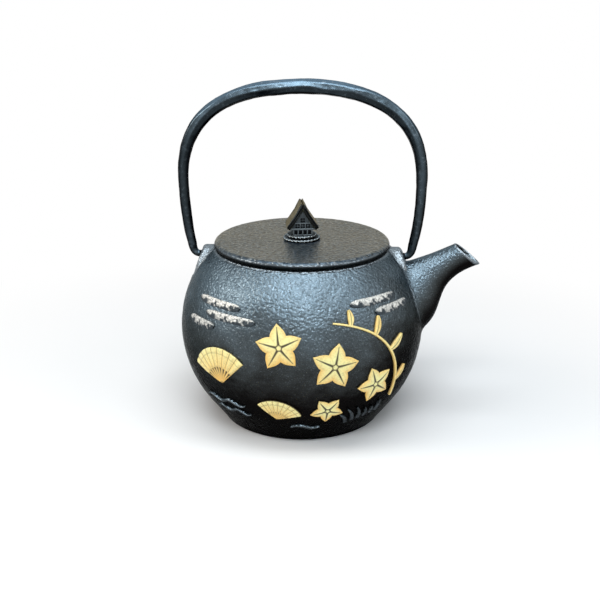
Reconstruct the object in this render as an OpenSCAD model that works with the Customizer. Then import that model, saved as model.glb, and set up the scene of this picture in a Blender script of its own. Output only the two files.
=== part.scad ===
// Cast iron teapot: a round cast body with a lofted spout, arched lugs, a swinging bail,
// a flat lid with a thatched farmhouse knob, and a stainless infuser that lifts out.
// The spout points along +X, the bail turns about X, and the origin is the middle of the foot.

/* [Body] */
// Largest outer radius of the body
body_r = 70; // [62:0.5:80]
// Height of the widest ring of the body
belly_z = 54.5; // [50:0.5:60]
// Height from the belly to where the upper shape would close
upper_b = 65.3; // [61:0.1:72]
// Depth from the belly to where the lower shape would close
lower_b = 68; // [64:0.5:74]
// Height of the flat rim of the mouth
rim_z = 100.2; // [96:0.1:104]
// Thickness of the cast wall
wall_t = 3.4; // [2.6:0.1:4.4]
// Width of the flat rim round the mouth
rim_w = 7; // [6:0.5:9]
// Height of the inward lip round the mouth
lip_h = 3.5; // [2.5:0.1:5]
// Thickness of the enamel inside
enamel_t = 0.4; // [0.2:0.05:0.8]

/* [Foot] */
// Outer radius of the foot ring
foot_r = 45.3; // [40:0.1:48]
// Width of the foot ring
foot_w = 5; // [3:0.5:9]
// Depth of the recess inside the foot ring
foot_recess = 1.2; // [0.6:0.1:2]
// Height where the foot runs into the round body
foot_top = 12; // [8:0.5:16]
// Thickness of the floor
floor_t = 3.6; // [3:0.1:5]

/* [Spout] */
// Height where the top of the spout leaves the shoulder
spout_root_top = 91; // [88:0.5:92]
// Height where the underside of the spout leaves the belly
spout_root_low = 50.5; // [46:0.5:56]
// How far the underside of the spout swells out from the belly
spout_swell = 19.2; // [14:0.2:22]
// How far that swell rises over the root
spout_rise = 13.3; // [10:0.1:16]
// How far below the lip the neck of the underside lies
spout_neck_drop = 12.1; // [9:0.1:14]
// How far the spout reaches into the belly before it is cut off there
spout_sink = 5; // [4:0.5:7]
// Half width of the spout at its root
spout_root_w = 18; // [14:0.5:20]
// Distance from the body axis to the top of the mouth
mouth_top_x = 86.9; // [82:0.1:92]
// Height of the top of the mouth
mouth_top_z = 102.9; // [98:0.1:108]
// Distance from the body axis to the pouring lip
lip_x = 101.5; // [96:0.1:108]
// Height of the pouring lip
lip_z = 91.3; // [88:0.1:96]
// Half width of the mouth outside
spout_mouth_w = 6.9; // [6:0.1:9]
// Wall of the spout at the root
spout_root_t = 3.2; // [2.4:0.1:4]
// Wall of the spout at the mouth
spout_mouth_t = 1.8; // [1.2:0.1:2.4]
// How far the lower half of the mouth is pinched into a lip
lip_pinch = 0.3; // [0:0.05:0.5]
// Radius of the hole from the body into the spout
inlet_r = 10; // [7:0.5:12]
// Height of that hole
inlet_z = 73; // [70:0.5:76]

/* [Lugs] */
// Height of the hinge pins
pin_z = 95; // [93.5:0.1:95.5]
// How far the lug face stands off the body at the pin height
lug_stand = 3.4; // [2.6:0.1:4.6]
// How far the lug face leans outwards for each millimetre down
lug_lean = 0.347; // [0.25:0.01:0.45]
// Half width of the arched lug
lug_w = 9.2; // [7:0.1:11]
// Size of the bevel over the lug
lug_bevel = 2.6; // [1:0.1:3]
// Lowest height of the lug
lug_low_z = 80; // [76:0.5:84]

/* [Bail] */
// Radius of the hinge pins
pin_r = 1.9; // [1.4:0.05:2.2]
// Clearance of the pin in its hole
pin_gap = 0.07; // [0.03:0.01:0.1]
// Length of the pin inside its hole
pin_len = 4.8; // [3:0.1:5.5]
// Room between the end of the pin and the bottom of its hole
pin_end_gap = 0.4; // [0.2:0.1:0.8]
// Length of the pin that shows outside the lug
pin_show = 0.5; // [0.3:0.1:1]
// Height of the middle of the bar at the top
bail_top_z = 190.4; // [170:0.2:210]
// How far the middle of the bar keeps inside the widest ring of the body
bail_tuck = 2.7; // [-4:0.1:5]
// Height where the bail is widest
bail_wide_z = 138; // [130:0.5:146]
// How far the leg stands out past the lug face above its bend
leg_out = 5.1; // [3.5:0.1:6]
// Height of the bend over the pin
leg_up = 6.5; // [5:0.1:8]
// How far the leg flares out again above the bend
leg_flare = 1.6; // [0.5:0.1:3]
// Thickness of the bar at the top
bar_top_t = 9.3; // [7:0.1:11]
// Thickness of the bar at its widest
bar_side_t = 5.8; // [4.5:0.1:7]
// Thickness of the bar above the bend
bar_low_t = 4.7; // [4:0.1:5.2]
// Width of the bar across, as a share of its thickness
bar_flat = 0.96; // [0.8:0.02:1.1]

/* [Lid] */
// How far the lid stands out past the rim
lid_over = 0; // [-1:0.1:1.5]
// Thickness of the lid
lid_t = 3.65; // [3:0.05:5]
// Radius of the rounded edge of the lid
lid_edge = 0.9; // [0.4:0.1:1.2]
// Height of the locating ring under the lid
lid_ring_h = 3.4; // [2:0.1:5]
// Width of the locating ring
lid_ring_w = 2.4; // [1.6:0.1:4]
// Clearance of the locating ring inside the infuser
lid_ring_gap = 0.6; // [0.3:0.1:1.2]

/* [Knob] */
// How far the knob is turned from facing sideways
knob_turn = 8; // [-45:1:45]
// Radius of the round seat
seat_r = 10.6; // [9:0.1:13]
// Height of the round seat
seat_h = 3.2; // [2.4:0.1:4]
// Width of the house
house_w = 11.4; // [9:0.1:13]
// Length of the house
house_l = 11.6; // [10:0.1:14]
// Height of the walls under the eaves
house_wall_h = 4.2; // [3:0.1:6]
// Height from the eaves to the ridge
roof_h = 14.5; // [12:0.1:17]
// Half width of the roof at the eaves
roof_w = 9.1; // [8:0.1:11]
// Length of the roof
roof_l = 14.2; // [12.5:0.1:17]
// Thickness of the thatch
thatch_t = 2.3; // [1.6:0.1:3]
// Radius of the rivet that holds the knob
rivet_r = 2; // [1.5:0.1:2.4]
// Clearance of the rivet in its hole
rivet_gap = 0.1; // [0.05:0.01:0.2]
// Radius of the washer under the lid
washer_r = 6; // [5:0.1:8]
// Thickness of the washer
washer_t = 0.8; // [0.5:0.1:1.2]

/* [Infuser] */
// Depth of the infuser below the rim
infuser_depth = 53; // [40:0.5:54]
// Clearance of the infuser inside the mouth
infuser_gap = 0.8; // [0.4:0.1:1.5]
// Thickness of the infuser sheet
sheet_t = 0.6; // [0.4:0.05:0.8]
// Thickness of the flange that lies on the rim
flange_t = 0.8; // [0.6:0.05:1.2]
// Width of the flange on the rim
flange_w = 4.2; // [2.5:0.1:5]
// Height of the plain collar under the flange
collar_h = 8; // [5:0.5:12]
// Height of the hem round the bottom
hem_h = 3; // [2:0.1:5]
// Rise of the pressed floor of the infuser
dish_h = 1.6; // [0.8:0.1:3]

/* [Relief] */
// How far the gilt ornament stands off the body
relief_h = 1.3; // [0.6:0.1:2]
// Radius of the largest blossom
blossom_r = 13.5; // [9:0.5:14]
// Depth of the notches between petals, as a share of the radius
petal_notch = 0.42; // [0.2:0.02:0.6]
// Length of the larger fan from its pivot
fan_r = 21; // [12:0.5:22]
// Angle that the fans open to
fan_spread = 118; // [80:2:130]
// Width of the flower stem
stem_w = 1.6; // [1:0.1:2.4]
// Width of a blade of reed
reed_w = 2.4; // [1.4:0.1:3]
// Width of a line of water
water_w = 1.7; // [1:0.1:2.4]
// Width of a band of mist
mist_w = 4.4; // [2:0.2:4.8]
// How far the low relief stands off the body
low_relief_h = 0.9; // [0.4:0.1:1.3]

/* [Hidden] */
$fn = 96;
iron = "#2c3338";
body_steps = 26;
floor_z = foot_recess + floor_t;
inner_top_z = rim_z - lip_h;
rim_r = body_rad(rim_z);
mouth_r = rim_r - rim_w;
lug_face_x = body_rad(pin_z) + lug_stand;
bail_half_w = body_r - bail_tuck;
pin_hole_r = pin_r + pin_gap;
lug_top_z = rim_z;
lid_r = rim_r + lid_over;
lid_z = rim_z + flange_t;
lid_top_z = lid_z + lid_t;
infuser_r = mouth_r - infuser_gap;
infuser_in_r = infuser_r - sheet_t;
infuser_low_z = rim_z - infuser_depth;
hem_top_z = infuser_low_z + hem_h;
collar_low_z = rim_z - collar_h;
ring_r = infuser_in_r - lid_ring_gap;
seat_top_z = lid_top_z + seat_h;
eaves_z = seat_top_z + house_wall_h;
ridge_z = eaves_z + roof_h;
socket_h = 6;
cut = 1;

function lerp(a, b, t) = a + (b - a) * t;
function bez2(a, b, c, t) = (1 - t) * (1 - t) * a + 2 * t * (1 - t) * b + t * t * c;
function bez3(a, b, c, d, t) =
    pow(1 - t, 3) * a + 3 * t * pow(1 - t, 2) * b + 3 * t * t * (1 - t) * c + pow(t, 3) * d;

// Radius of the body at a height, taken in by a wall: two half ellipses that meet at the belly.
function round_rad(z, inset) = (body_r - inset) * sqrt(max(0,
    1 - pow((z - belly_z) / ((z > belly_z ? upper_b : lower_b) - inset), 2)));
// Outside, a straight skirt leads from the foot ring to the round body.
function body_rad(z) = z > foot_top ? round_rad(z, 0)
    : lerp(foot_r, round_rad(foot_top, 0), z / foot_top);

function outer_curve() =
    [for (i = [0:body_steps]) let (z = lerp(foot_top, rim_z, i / body_steps)) [body_rad(z), z]];
function inner_curve(inset, low) =
    [for (i = [0:body_steps]) let (z = lerp(inner_top_z, low, i / body_steps)) [round_rad(z, inset), z]];

module body_solid() {
    rotate_extrude() polygon(concat([[0, 0], [foot_r, 0]], outer_curve(), [[0, rim_z]]));
}

module inlet_hole() {
    translate([body_r / 2, 0, inlet_z]) rotate([0, 90, 0]) cylinder(r = inlet_r, h = body_r);
}

module pin_holes() {
    depth = pin_len + cut;
    for (side = [0, 180]) rotate([0, 0, side])
        translate([lug_face_x - pin_len - pin_end_gap, 0, pin_z]) rotate([0, 90, 0])
            cylinder(r = pin_hole_r, h = depth + body_r, $fn = 48);
}

module pot_shell() {
    color(iron) difference() {
        rotate_extrude() polygon(concat(
            [[0, foot_recess], [foot_r - foot_w - 0.8, foot_recess], [foot_r - foot_w, 0], [foot_r, 0]],
            outer_curve(),
            [[mouth_r, rim_z], [mouth_r, inner_top_z]],
            inner_curve(wall_t, floor_z),
            [[0, floor_z]]));
        inlet_hole();
        pin_holes();
    }
}

module enamel_lining() {
    color("#23282b") difference() {
        rotate_extrude() polygon(concat(
            [[0, floor_z]],
            [for (i = [body_steps:-1:0]) inner_curve(wall_t, floor_z)[i]],
            inner_curve(wall_t + enamel_t, floor_z + enamel_t),
            [[0, floor_z + enamel_t]]));
        inlet_hole();
    }
}

// The spout is a loft of ovals, each hung between a top line and a low line in the XZ plane.
spout_rings = 15;
ring_sides = 24;
function spout_top(t) = bez2(
    [body_rad(spout_root_top) - spout_sink, spout_root_top - 1],
    [lerp(body_rad(spout_root_top), mouth_top_x, 0.34), spout_root_top + 2.5],
    [mouth_top_x, mouth_top_z], t);
function spout_low(t) = bez3(
    [body_rad(spout_root_low) - spout_sink, spout_root_low - 2.6],
    [body_rad(spout_root_low) + spout_swell, spout_root_low + spout_rise],
    [body_rad(spout_root_low) - 0.05 * spout_root_w, lip_z - spout_neck_drop],
    [lip_x, lip_z], t);
function spout_half_w(t) = lerp(spout_mouth_w, spout_root_w, pow(1 - t, 2));
function spout_ring(t, wall) = let (
        top = spout_top(t), low = spout_low(t),
        mid = (top + low) / 2, half = (top - low) / 2,
        long = half * (1 - wall / norm(half)), wide = spout_half_w(t) - wall)
    [for (k = [0:ring_sides - 1]) let (
            a = 360 * k / ring_sides,
            pinch = 1 - lip_pinch * pow(t, 3) * (1 - cos(a)) / 2,
            c = mid + long * cos(a))
        [c[0], wide * pinch * sin(a), c[1]]];

// The two faces between rings i and i + 1, from corner k to the next of n corners.
function ring_faces(i, k, n) = let (a = i * n + k, b = i * n + (k + 1) % n)
    [[a, b, b + n], [a, b + n, a + n]];

// Closes a stack of rings, each a list of as many points, into one solid.
module loft(rings) {
    n = len(rings[0]);
    last = len(rings) - 1;
    polyhedron(
        points = [for (r = rings) for (p = r) p],
        faces = concat(
            [[for (k = [n - 1:-1:0]) k]],
            [[for (k = [0:n - 1]) last * n + k]],
            [for (i = [0:last - 1]) for (k = [0:n - 1]) each ring_faces(i, k, n)]),
        convexity = 6);
}

module spout_outside() {
    loft([for (i = [0:spout_rings]) spout_ring(i / spout_rings, 0)]);
}

module spout_bore() {
    loft([for (i = [0:spout_rings + 1]) let (t = lerp(-0.04, 1.04, i / (spout_rings + 1)))
        spout_ring(t, lerp(spout_root_t, spout_mouth_t, t))]);
}

module spout() {
    color(iron) difference() {
        difference() {
            spout_outside();
            spout_bore();
        }
        body_solid();
    }
}

// A lug is an arch standing on the shoulder, with a leaning face that takes a hinge pin.
module lug() {
    face = function(z) lug_face_x + (pin_z - z) * lug_lean;
    bevel_z = lug_top_z - lug_bevel;
    difference() {
        intersection() {
            rotate([90, 0, 90]) linear_extrude(height = body_r) union() {
                translate([0, lug_top_z - lug_w]) circle(r = lug_w);
                translate([-lug_w, lug_low_z]) square([2 * lug_w, lug_top_z - lug_w - lug_low_z]);
            }
            rotate([90, 0, 0]) translate([0, 0, -body_r / 2]) linear_extrude(height = body_r)
                polygon([[rim_r - 8, lug_low_z], [face(lug_low_z), lug_low_z],
                    [face(bevel_z), bevel_z],
                    [face(bevel_z) - 0.35 * lug_bevel, bevel_z + 0.7 * lug_bevel],
                    [face(bevel_z) - lug_bevel, lug_top_z],
                    [rim_r - 8, lug_top_z]]);
        }
        body_solid();
        pin_holes();
    }
}

module rear_lug() {
    color(iron) rotate([0, 0, 180]) lug();
}

module front_lug() {
    color(iron) difference() {
        lug();
        spout_outside();
    }
}

// The bar follows curves from the middle of the top down to the pin, and is mirrored across.
function bail_line(s) =
    s < 0.5 ? bez3([0, bail_top_z], [0.79 * bail_half_w, bail_top_z],
        [bail_half_w, lerp(bail_wide_z, bail_top_z, 0.53)], [bail_half_w, bail_wide_z], s * 2)
    : s < 0.85 ? bez3([bail_half_w, bail_wide_z], [bail_half_w, lerp(bail_wide_z, pin_z, 0.37)],
        leg_top(), leg_foot(), (s - 0.5) / 0.35)
    : bez2(leg_foot(), [leg_foot()[0] - leg_flare / 2, pin_z],
        [lug_face_x + pin_show, pin_z], (s - 0.85) / 0.15);
function leg_foot() = [lug_face_x + leg_out, pin_z + leg_up];
function leg_top() = leg_foot() + [leg_flare, leg_up * 0.92];
function bar_t(s) =
    s < 0.5 ? lerp(bar_top_t, bar_side_t, pow(s * 2, 1.4))
    : s < 0.85 ? lerp(bar_side_t, bar_low_t, (s - 0.5) / 0.35)
    : lerp(bar_low_t, 2 * pin_r, (s - 0.85) / 0.15);
function bar_ring(s) = let (
        p = bail_line(s), d = bail_line(min(1, s + 0.002)) - bail_line(max(0, s - 0.002)),
        n = [-d[1], d[0]] / norm(d), h = bar_t(s) / 2)
    [for (k = [0:11]) let (a = 30 * k + 15)
        [p[0] + n[0] * h * cos(a), h * bar_flat * sin(a), p[1] + n[1] * h * cos(a)]];
bail_s = [for (i = [0:11]) 0.5 * i / 12, for (i = [0:7]) 0.5 + 0.35 * i / 8,
    for (i = [0:6]) 0.85 + 0.15 * i / 6];

module bail() {
    right = [for (s = bail_s) bar_ring(s)];
    left = [for (i = [len(right) - 1:-1:1]) [for (p = right[i]) [-p[0], p[1], p[2]]]];
    color("#262f36") {
        loft(concat(left, right));
        for (side = [0, 180]) rotate([0, 0, side])
            translate([lug_face_x - pin_len, 0, pin_z]) rotate([0, 90, 0])
                cylinder(r = pin_r, h = pin_len + pin_show + 0.2, $fn = 48);
    }
}

// Low relief lies on the belly. A place on it is an azimuth, from the -Y side towards +X, and a
// latitude over the belly, both in degrees. x and y run along the skin from there, in millimetres.
relief_sink = 1;
function on_skin(place, x, y, h) = let (
        b = place[1] + y / body_r > 0 ? upper_b : lower_b,
        lat = place[1] + y / b * 180 / PI,
        r = body_r * cos(lat),
        az = place[0] + x / r * 180 / PI,
        k = 1 + h / body_r)
    [r * k * sin(az), -r * k * cos(az), belly_z + (lat > 0 ? upper_b : lower_b) * sin(lat) * k];
module fine_body() {
    body_solid($fn = 384);
}

// A bellflower: five broad pointed petals. The outline runs straight from a tip to a notch, with
// a slight bulge, and the petals are domed, with valleys between them and a dip in the middle.
petal_steps = 3;
blossoms = [[-7, 8.5, 0.96, 8], [17.5, -1, 1, -10], [38.5, -13.5, 0.84, 20], [15.5, -25, 0.7, 35]];
function petal_rad(t, r) = let (notch = r * (1 - petal_notch), a = 36 * t)
    r * notch * sin(36) / (r * sin(a) + notch * sin(36 - a)) + 0.06 * r * sin(180 * t);
petal_h = function(u, t)
    relief_h * (1 - 0.5 * pow(u, 4)) * (1 - 0.35 * t * t) * (0.72 + 0.28 * min(1, u * 3));
module blossom(place, r, spin) {
    n = 10 * petal_steps;
    fold = function(k) abs(((k / petal_steps) % 2) - 1);
    point = function(k, u, h) let (a = 360 * k / n + 90 + spin, rad = u * petal_rad(1 - fold(k), r))
        on_skin(place, rad * cos(a), rad * sin(a), h);
    rings = [for (u = [0.34, 0.7, 1]) for (k = [0:n - 1]) point(k, u, petal_h(u, 1 - fold(k)))];
    under = [for (k = [0:n - 1]) point(k, 1, -relief_sink)];
    top = on_skin(place, 0, 0, petal_h(0, 0));
    bottom = on_skin(place, 0, 0, -2 * relief_sink);
    polyhedron(
        points = concat(rings, under, [top, bottom]),
        faces = [for (k = [0:n - 1]) let (m = (k + 1) % n) each concat(
            [[m, k, 4 * n], [3 * n + k, 3 * n + m, 4 * n + 1]],
            [for (i = [0:2]) each ring_faces(i, k, n)])],
        convexity = 6);
}
module blossom_relief() {
    color("#e9cf7a") difference() {
        for (b = blossoms) blossom([b[0], b[1]], b[2] * blossom_r, b[3]);
        fine_body();
    }
}

// An open fan: a pleated leaf on ribs that run together at the pivot.
fan_pleats = 9;
fans = [[-36, -14, 1, -12], [-10, -31, 0.68, 16]];
module fan(place, r, tilt) {
    steps = 2 * fan_pleats;
    point = function(i, rad, h) let (a = fan_spread * (i / steps - 0.5) + tilt)
        on_skin(place, rad * sin(a), rad * cos(a), h);
    loft([for (i = [0:steps]) let (pleat = i % 2 == 0 ? 0.7 : 1) [
        point(i, 0.74 * r, relief_h * pleat), point(i, r, 0.7 * relief_h * pleat), point(i, r, -relief_sink),
        point(i, 0.06 * r, -relief_sink), point(i, 0.06 * r, 0.5 * relief_h),
        point(i, 0.44 * r, 0.5 * relief_h * pleat), point(i, 0.48 * r, relief_h * pleat)]]);
}
module fan_relief() {
    color("#e5bd62") difference() {
        for (f = fans) fan([f[0], f[1]], f[2] * fan_r, f[3]);
        fine_body();
    }
}

// A strip with a rounded back, along points [azimuth, latitude], as wide as width(s) at s from 0 to 1.
module strip(line, width, h, steps = 10) {
    sink = -relief_sink / h;
    loft([for (i = [0:steps]) let (
            s = i / steps, here = line(s), d = line(s + 0.01) - line(s - 0.01),
            run = [d[0] * cos(here[1]), d[1]], side = [-run[1], run[0]] / norm(run), w = width(s) / 2)
        [for (q = [[0, 1], [0.75, 0.75], [1, 0.1], [1, sink], [-1, sink], [-1, 0.1], [-0.75, 0.75]])
            on_skin(here, side[0] * w * q[0], side[1] * w * q[0], h * q[1])]]);
}
function spindle(s, w) = w * max(0.12, pow(sin(180 * min(1, max(0, s))), 0.7));
function leaf_line(place, length, aim) = function(s)
    place + s * length / body_r * 180 / PI * [cos(aim + 20 * s) / cos(place[1]), sin(aim + 20 * s)];

stem_line = function(s) bez3([52, -24], [52, 4], [38, 16], [17, 19.5], s);
leaves = [[0.12, 10, 30, 3.6], [0.4, 12, 15, 4], [0.62, 11, 50, 3.8], [0.86, 9, 70, 3.4]];
module stem_relief() {
    color("#e2b45c") difference() {
        union() {
            strip(stem_line, function(s) lerp(stem_w, stem_w * 0.6, s), 0.8 * relief_h);
            for (l = leaves)
                strip(leaf_line(stem_line(l[0]), l[1], l[2]),
                    function(s) spindle(s * 0.85 + 0.1, l[3]), 0.8 * relief_h);
        }
        fine_body();
    }
}

// Reeds stand in a row at the foot of the flowers, and lean with the wind.
reed_count = 6;
module reed_relief() {
    color(iron) difference() {
        for (i = [0:reed_count - 1]) let (length = 9.5 + 3 * sin(i * 70), aim = 100 - 6 * i)
            strip(leaf_line([27.5 + 3.6 * i, -36 + 0.8 * i], length, aim),
                function(s) spindle(s * 0.6 + 0.4, reed_w), low_relief_h, 6);
        fine_body();
    }
}

// Lines of water: start azimuth, end azimuth and latitude, with this many waves each.
waters = [[-52, -26, -25.5, 2], [-47, -24, -31, 2], [-3, 13, -37.5, 1]];
module water_relief() {
    color(iron) difference() {
        for (w = waters)
            strip(function(s) [lerp(w[0], w[1], s), w[2] + 1.1 * sin(360 * w[3] * s)],
                function(s) spindle(s * 0.92 + 0.04, water_w), low_relief_h, 14);
        body_solid($fn = 384);
    }
}

// Bands of mist with round ends: start azimuth, end azimuth and latitude.
mists = [[-56, -28, 24], [-48, -19, 18.5], [-60, -41, 12.8], [27, 56, 27], [40, 64, 21.6]];
module mist_relief() {
    round_end = function(s) pow(max(0.02, 1 - pow(abs(2 * s - 1), 7)), 0.5);
    color("#8d9498") difference() {
        for (m = mists)
            strip(function(s) [lerp(m[0], m[1], s), m[2]], function(s) mist_w * round_end(s), low_relief_h);
        fine_body();
    }
}

module lid_plate() {
    edge_r = lid_r - lid_edge;
    color("#6a6960") rotate_extrude() polygon(concat(
        [[rivet_r + rivet_gap, lid_z]],
        [for (a = [-90:15:0]) [edge_r + lid_edge * cos(a), lid_z + lid_edge + lid_edge * sin(a)]],
        [for (a = [0:15:90]) [edge_r + lid_edge * cos(a), lid_top_z - lid_edge + lid_edge * sin(a)]],
        [[rivet_r + rivet_gap, lid_top_z]]));
}

// The locating ring stands under the plate and keeps the lid in the middle of the infuser.
module lid_ring() {
    ease = 0.2 * lid_ring_w;
    low = lid_z - lid_ring_h;
    color("#6a6960") rotate_extrude() polygon([
        [ring_r - lid_ring_w, lid_z], [ring_r - lid_ring_w, low], [ring_r - ease, low],
        [ring_r, low + ease], [ring_r, lid_z]]);
}

// The seat is a round plinth with two roped rings.
module knob_seat() {
    rope_r = 0.75;
    color("#4c5356") rotate_extrude() difference() {
        union() {
            translate([0, lid_top_z]) square([seat_r - rope_r, seat_h * 0.42]);
            translate([0, lid_top_z]) square([seat_r - 2.6, seat_h]);
            translate([seat_r - rope_r, lid_top_z + rope_r]) circle(r = rope_r, $fn = 24);
            translate([seat_r - 2.6, lid_top_z + seat_h - rope_r]) circle(r = rope_r, $fn = 24);
        }
        translate([-cut, lid_top_z - cut]) square([rivet_r + rivet_gap + cut, seat_h + 2 * cut]);
    }
}

module knob_frame() {
    rotate([0, 0, knob_turn]) children();
}

// Half width of the inside of the roof at a height, following the slope of the thatch.
slope = atan2(roof_h, roof_w);
thatch_across = thatch_t / sin(slope);
function roof_in(z) = (ridge_z - z) * roof_w / roof_h - thatch_across;
gable_top_z = ridge_z - thatch_across * roof_h / roof_w;

module knob_house() {
    gable_base_z = eaves_z - 0.6;
    gable_w = roof_in(gable_base_z);
    window = 2;
    color("#343c40") knob_frame() difference() {
        union() {
            translate([-house_w / 2, -house_l / 2, seat_top_z])
                cube([house_w, house_l, gable_base_z - seat_top_z]);
            rotate([90, 0, 0]) translate([0, 0, -house_l / 2]) linear_extrude(height = house_l)
                polygon([[-gable_w, gable_base_z], [gable_w, gable_base_z], [0, gable_top_z]]);
        }
        for (end = [-1, 1]) {
            for (column = [-1:1])
                translate([column * 1.35 * window - window / 2, end * house_l / 2 - 0.5, gable_base_z + 0.7])
                    cube([window, 1, window]);
            translate([-window / 2, end * house_l / 2 - 0.5, gable_base_z + 3.5]) cube([window, 1, window]);
        }
        translate([0, 0, seat_top_z - cut]) cylinder(r = rivet_r, h = socket_h + cut, $fn = 48);
    }
}

module knob_roof() {
    eave_x = roof_w - thatch_t * sin(slope);
    eave_z = eaves_z - thatch_t * cos(slope);
    crest_z = ridge_z - 0.8 * roof_h / roof_w;
    color("#6f6f61") knob_frame()
        rotate([90, 0, 0]) translate([0, 0, -roof_l / 2]) linear_extrude(height = roof_l)
            polygon([[-roof_w, eaves_z], [-0.8, crest_z], [-0.5, ridge_z], [0, ridge_z - 0.7],
                [0.5, ridge_z], [0.8, crest_z], [roof_w, eaves_z],
                [eave_x, eave_z], [0, gable_top_z], [-eave_x, eave_z]]);
}

module knob_rivet() {
    low = lid_z - washer_t;
    color("#8b8f90") {
        translate([0, 0, low]) cylinder(r = rivet_r, h = seat_top_z + socket_h - low, $fn = 48);
        translate([0, 0, low - 1.2]) rotate_extrude($fn = 48)
            polygon([[0, 0], [rivet_r + 0.4, 0], [rivet_r + 1.4, 0.6], [rivet_r + 1.4, 1.2], [0, 1.2]]);
    }
}

module knob_washer() {
    color("#8b8f90") translate([0, 0, lid_z - washer_t]) difference() {
        cylinder(r = washer_r, h = washer_t);
        translate([0, 0, -cut]) cylinder(r = rivet_r + rivet_gap, h = washer_t + 2 * cut, $fn = 48);
    }
}

module infuser_collar() {
    color("#b9bdbf") rotate_extrude() polygon([
        [infuser_in_r, collar_low_z], [infuser_r, collar_low_z], [infuser_r, rim_z],
        [mouth_r + flange_w - 0.3, rim_z], [mouth_r + flange_w, rim_z + 0.3],
        [mouth_r + flange_w, lid_z - 0.3], [mouth_r + flange_w - 0.3, lid_z],
        [infuser_in_r, lid_z]]);
}

module infuser_wall() {
    color("#9aa0a3") difference() {
        translate([0, 0, hem_top_z]) cylinder(r = infuser_r, h = collar_low_z - hem_top_z);
        translate([0, 0, hem_top_z - cut]) cylinder(r = infuser_in_r, h = collar_low_z - hem_top_z + 2 * cut);
    }
}

module infuser_hem() {
    color("#b9bdbf") rotate_extrude() polygon([
        [infuser_in_r, infuser_low_z], [infuser_r - 0.3, infuser_low_z], [infuser_r, infuser_low_z + 0.3],
        [infuser_r, hem_top_z], [infuser_in_r, hem_top_z]]);
}

module infuser_floor() {
    flat_r = infuser_in_r * 0.72;
    color("#9aa0a3") rotate_extrude() polygon([
        [0, infuser_low_z + dish_h], [flat_r, infuser_low_z + dish_h],
        [infuser_in_r - 2, infuser_low_z], [infuser_in_r, infuser_low_z],
        [infuser_in_r, infuser_low_z + sheet_t], [infuser_in_r - 2, infuser_low_z + sheet_t],
        [flat_r, infuser_low_z + dish_h + sheet_t], [0, infuser_low_z + dish_h + sheet_t]]);
}

pot_shell();
enamel_lining();
spout();
front_lug();
rear_lug();
bail();
blossom_relief();
fan_relief();
stem_relief();
reed_relief();
water_relief();
mist_relief();
lid_plate();
lid_ring();
knob_seat();
knob_house();
knob_roof();
knob_rivet();
knob_washer();
infuser_collar();
infuser_wall();
infuser_floor();
infuser_hem();
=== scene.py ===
# Cast iron teapot with a swinging bail, a lift-off lid with a thatched farmhouse knob, and an
# infuser. The spout points along +X, and the raised ornament is on the -Y side.
import bmesh
import bpy
import numpy as np
from mathutils import Matrix, Vector


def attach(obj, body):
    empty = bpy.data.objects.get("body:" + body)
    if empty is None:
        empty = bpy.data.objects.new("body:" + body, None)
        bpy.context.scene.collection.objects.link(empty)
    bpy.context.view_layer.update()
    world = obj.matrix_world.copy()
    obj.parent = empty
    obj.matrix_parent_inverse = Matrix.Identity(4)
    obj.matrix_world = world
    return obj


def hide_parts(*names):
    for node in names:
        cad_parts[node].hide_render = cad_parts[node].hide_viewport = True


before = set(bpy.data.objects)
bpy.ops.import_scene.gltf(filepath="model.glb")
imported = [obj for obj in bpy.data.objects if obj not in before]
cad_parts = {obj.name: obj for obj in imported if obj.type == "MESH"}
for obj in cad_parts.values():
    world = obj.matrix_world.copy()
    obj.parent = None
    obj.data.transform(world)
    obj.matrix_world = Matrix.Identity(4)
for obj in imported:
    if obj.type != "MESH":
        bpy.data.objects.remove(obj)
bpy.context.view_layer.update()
MM = 0.001

# --- Floor, light and camera --------------------------------------------------------------
# A pale seamless table under soft studio light, seen from a little above the lid. The floor
# fades to plain white, which also stands behind it.
view_from, view_lens, film_width = (0.0316, -0.6038, 0.2736), 66.0, 36.0
view_pitch, view_turn = 18.82, 3.1
floor_size, fade_from, fade_to = 6.0, 0.10, 0.34
white, floor_grey, sky_blue, sky_strength = (1, 1, 1), (0.86, 0.86, 0.86), (0.92, 0.96, 1.0), 0.2
cool, warm = (0.92, 0.97, 1.0), (1.0, 0.93, 0.85)
# Name, place, height aimed at, width, height, watts and colour of each lamp.
soft_boxes = [("overhead_light", (0.0, -0.16, 1.0), 0.08, 1.0, 0.4, 6.0, cool),
              ("front_light", (0.03, -0.75, 0.8), 0.08, 0.66, 0.35, 5.6, cool),
              ("left_light", (-0.85, -0.2, 0.58), 0.07, 0.4, 0.4, 3.6, warm),
              ("right_light", (0.75, -0.3, 0.55), 0.08, 0.4, 0.4, 1.6, cool)]


def put(name, data, place=(0, 0, 0), turn=(0, 0, 0)):
    """Puts a mesh, a lamp or a camera in the scene."""
    thing = bpy.data.objects.new(name, data)
    thing.location, thing.rotation_euler = place, turn
    bpy.context.collection.objects.link(thing)
    return thing


def plug(tree, node, values):
    """Sets a node's inputs, each to a number or a colour, or links one to another socket."""
    for name, value in dict(values).items():
        if isinstance(value, bpy.types.NodeSocket):
            tree.links.new(value, node.inputs[name])
        else:
            node.inputs[name].default_value = (*value, 1) if isinstance(value, tuple) else value


def add_node(tree, kind, values=(), **settings):
    """A node with its settings, and its inputs set or linked."""
    node = tree.nodes.new(kind)
    for name, value in settings.items():
        setattr(node, name, value)
    plug(tree, node, values)
    return node


def scaled(tree, socket, low, high, from_low=0.0, from_high=1.0, ease="LINEAR"):
    """A socket mapped from one range to another."""
    return add_node(tree, "ShaderNodeMapRange", {
        "Value": socket, "From Min": from_low, "From Max": from_high, "To Min": low,
        "To Max": high}, interpolation_type=ease).outputs[0]


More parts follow.
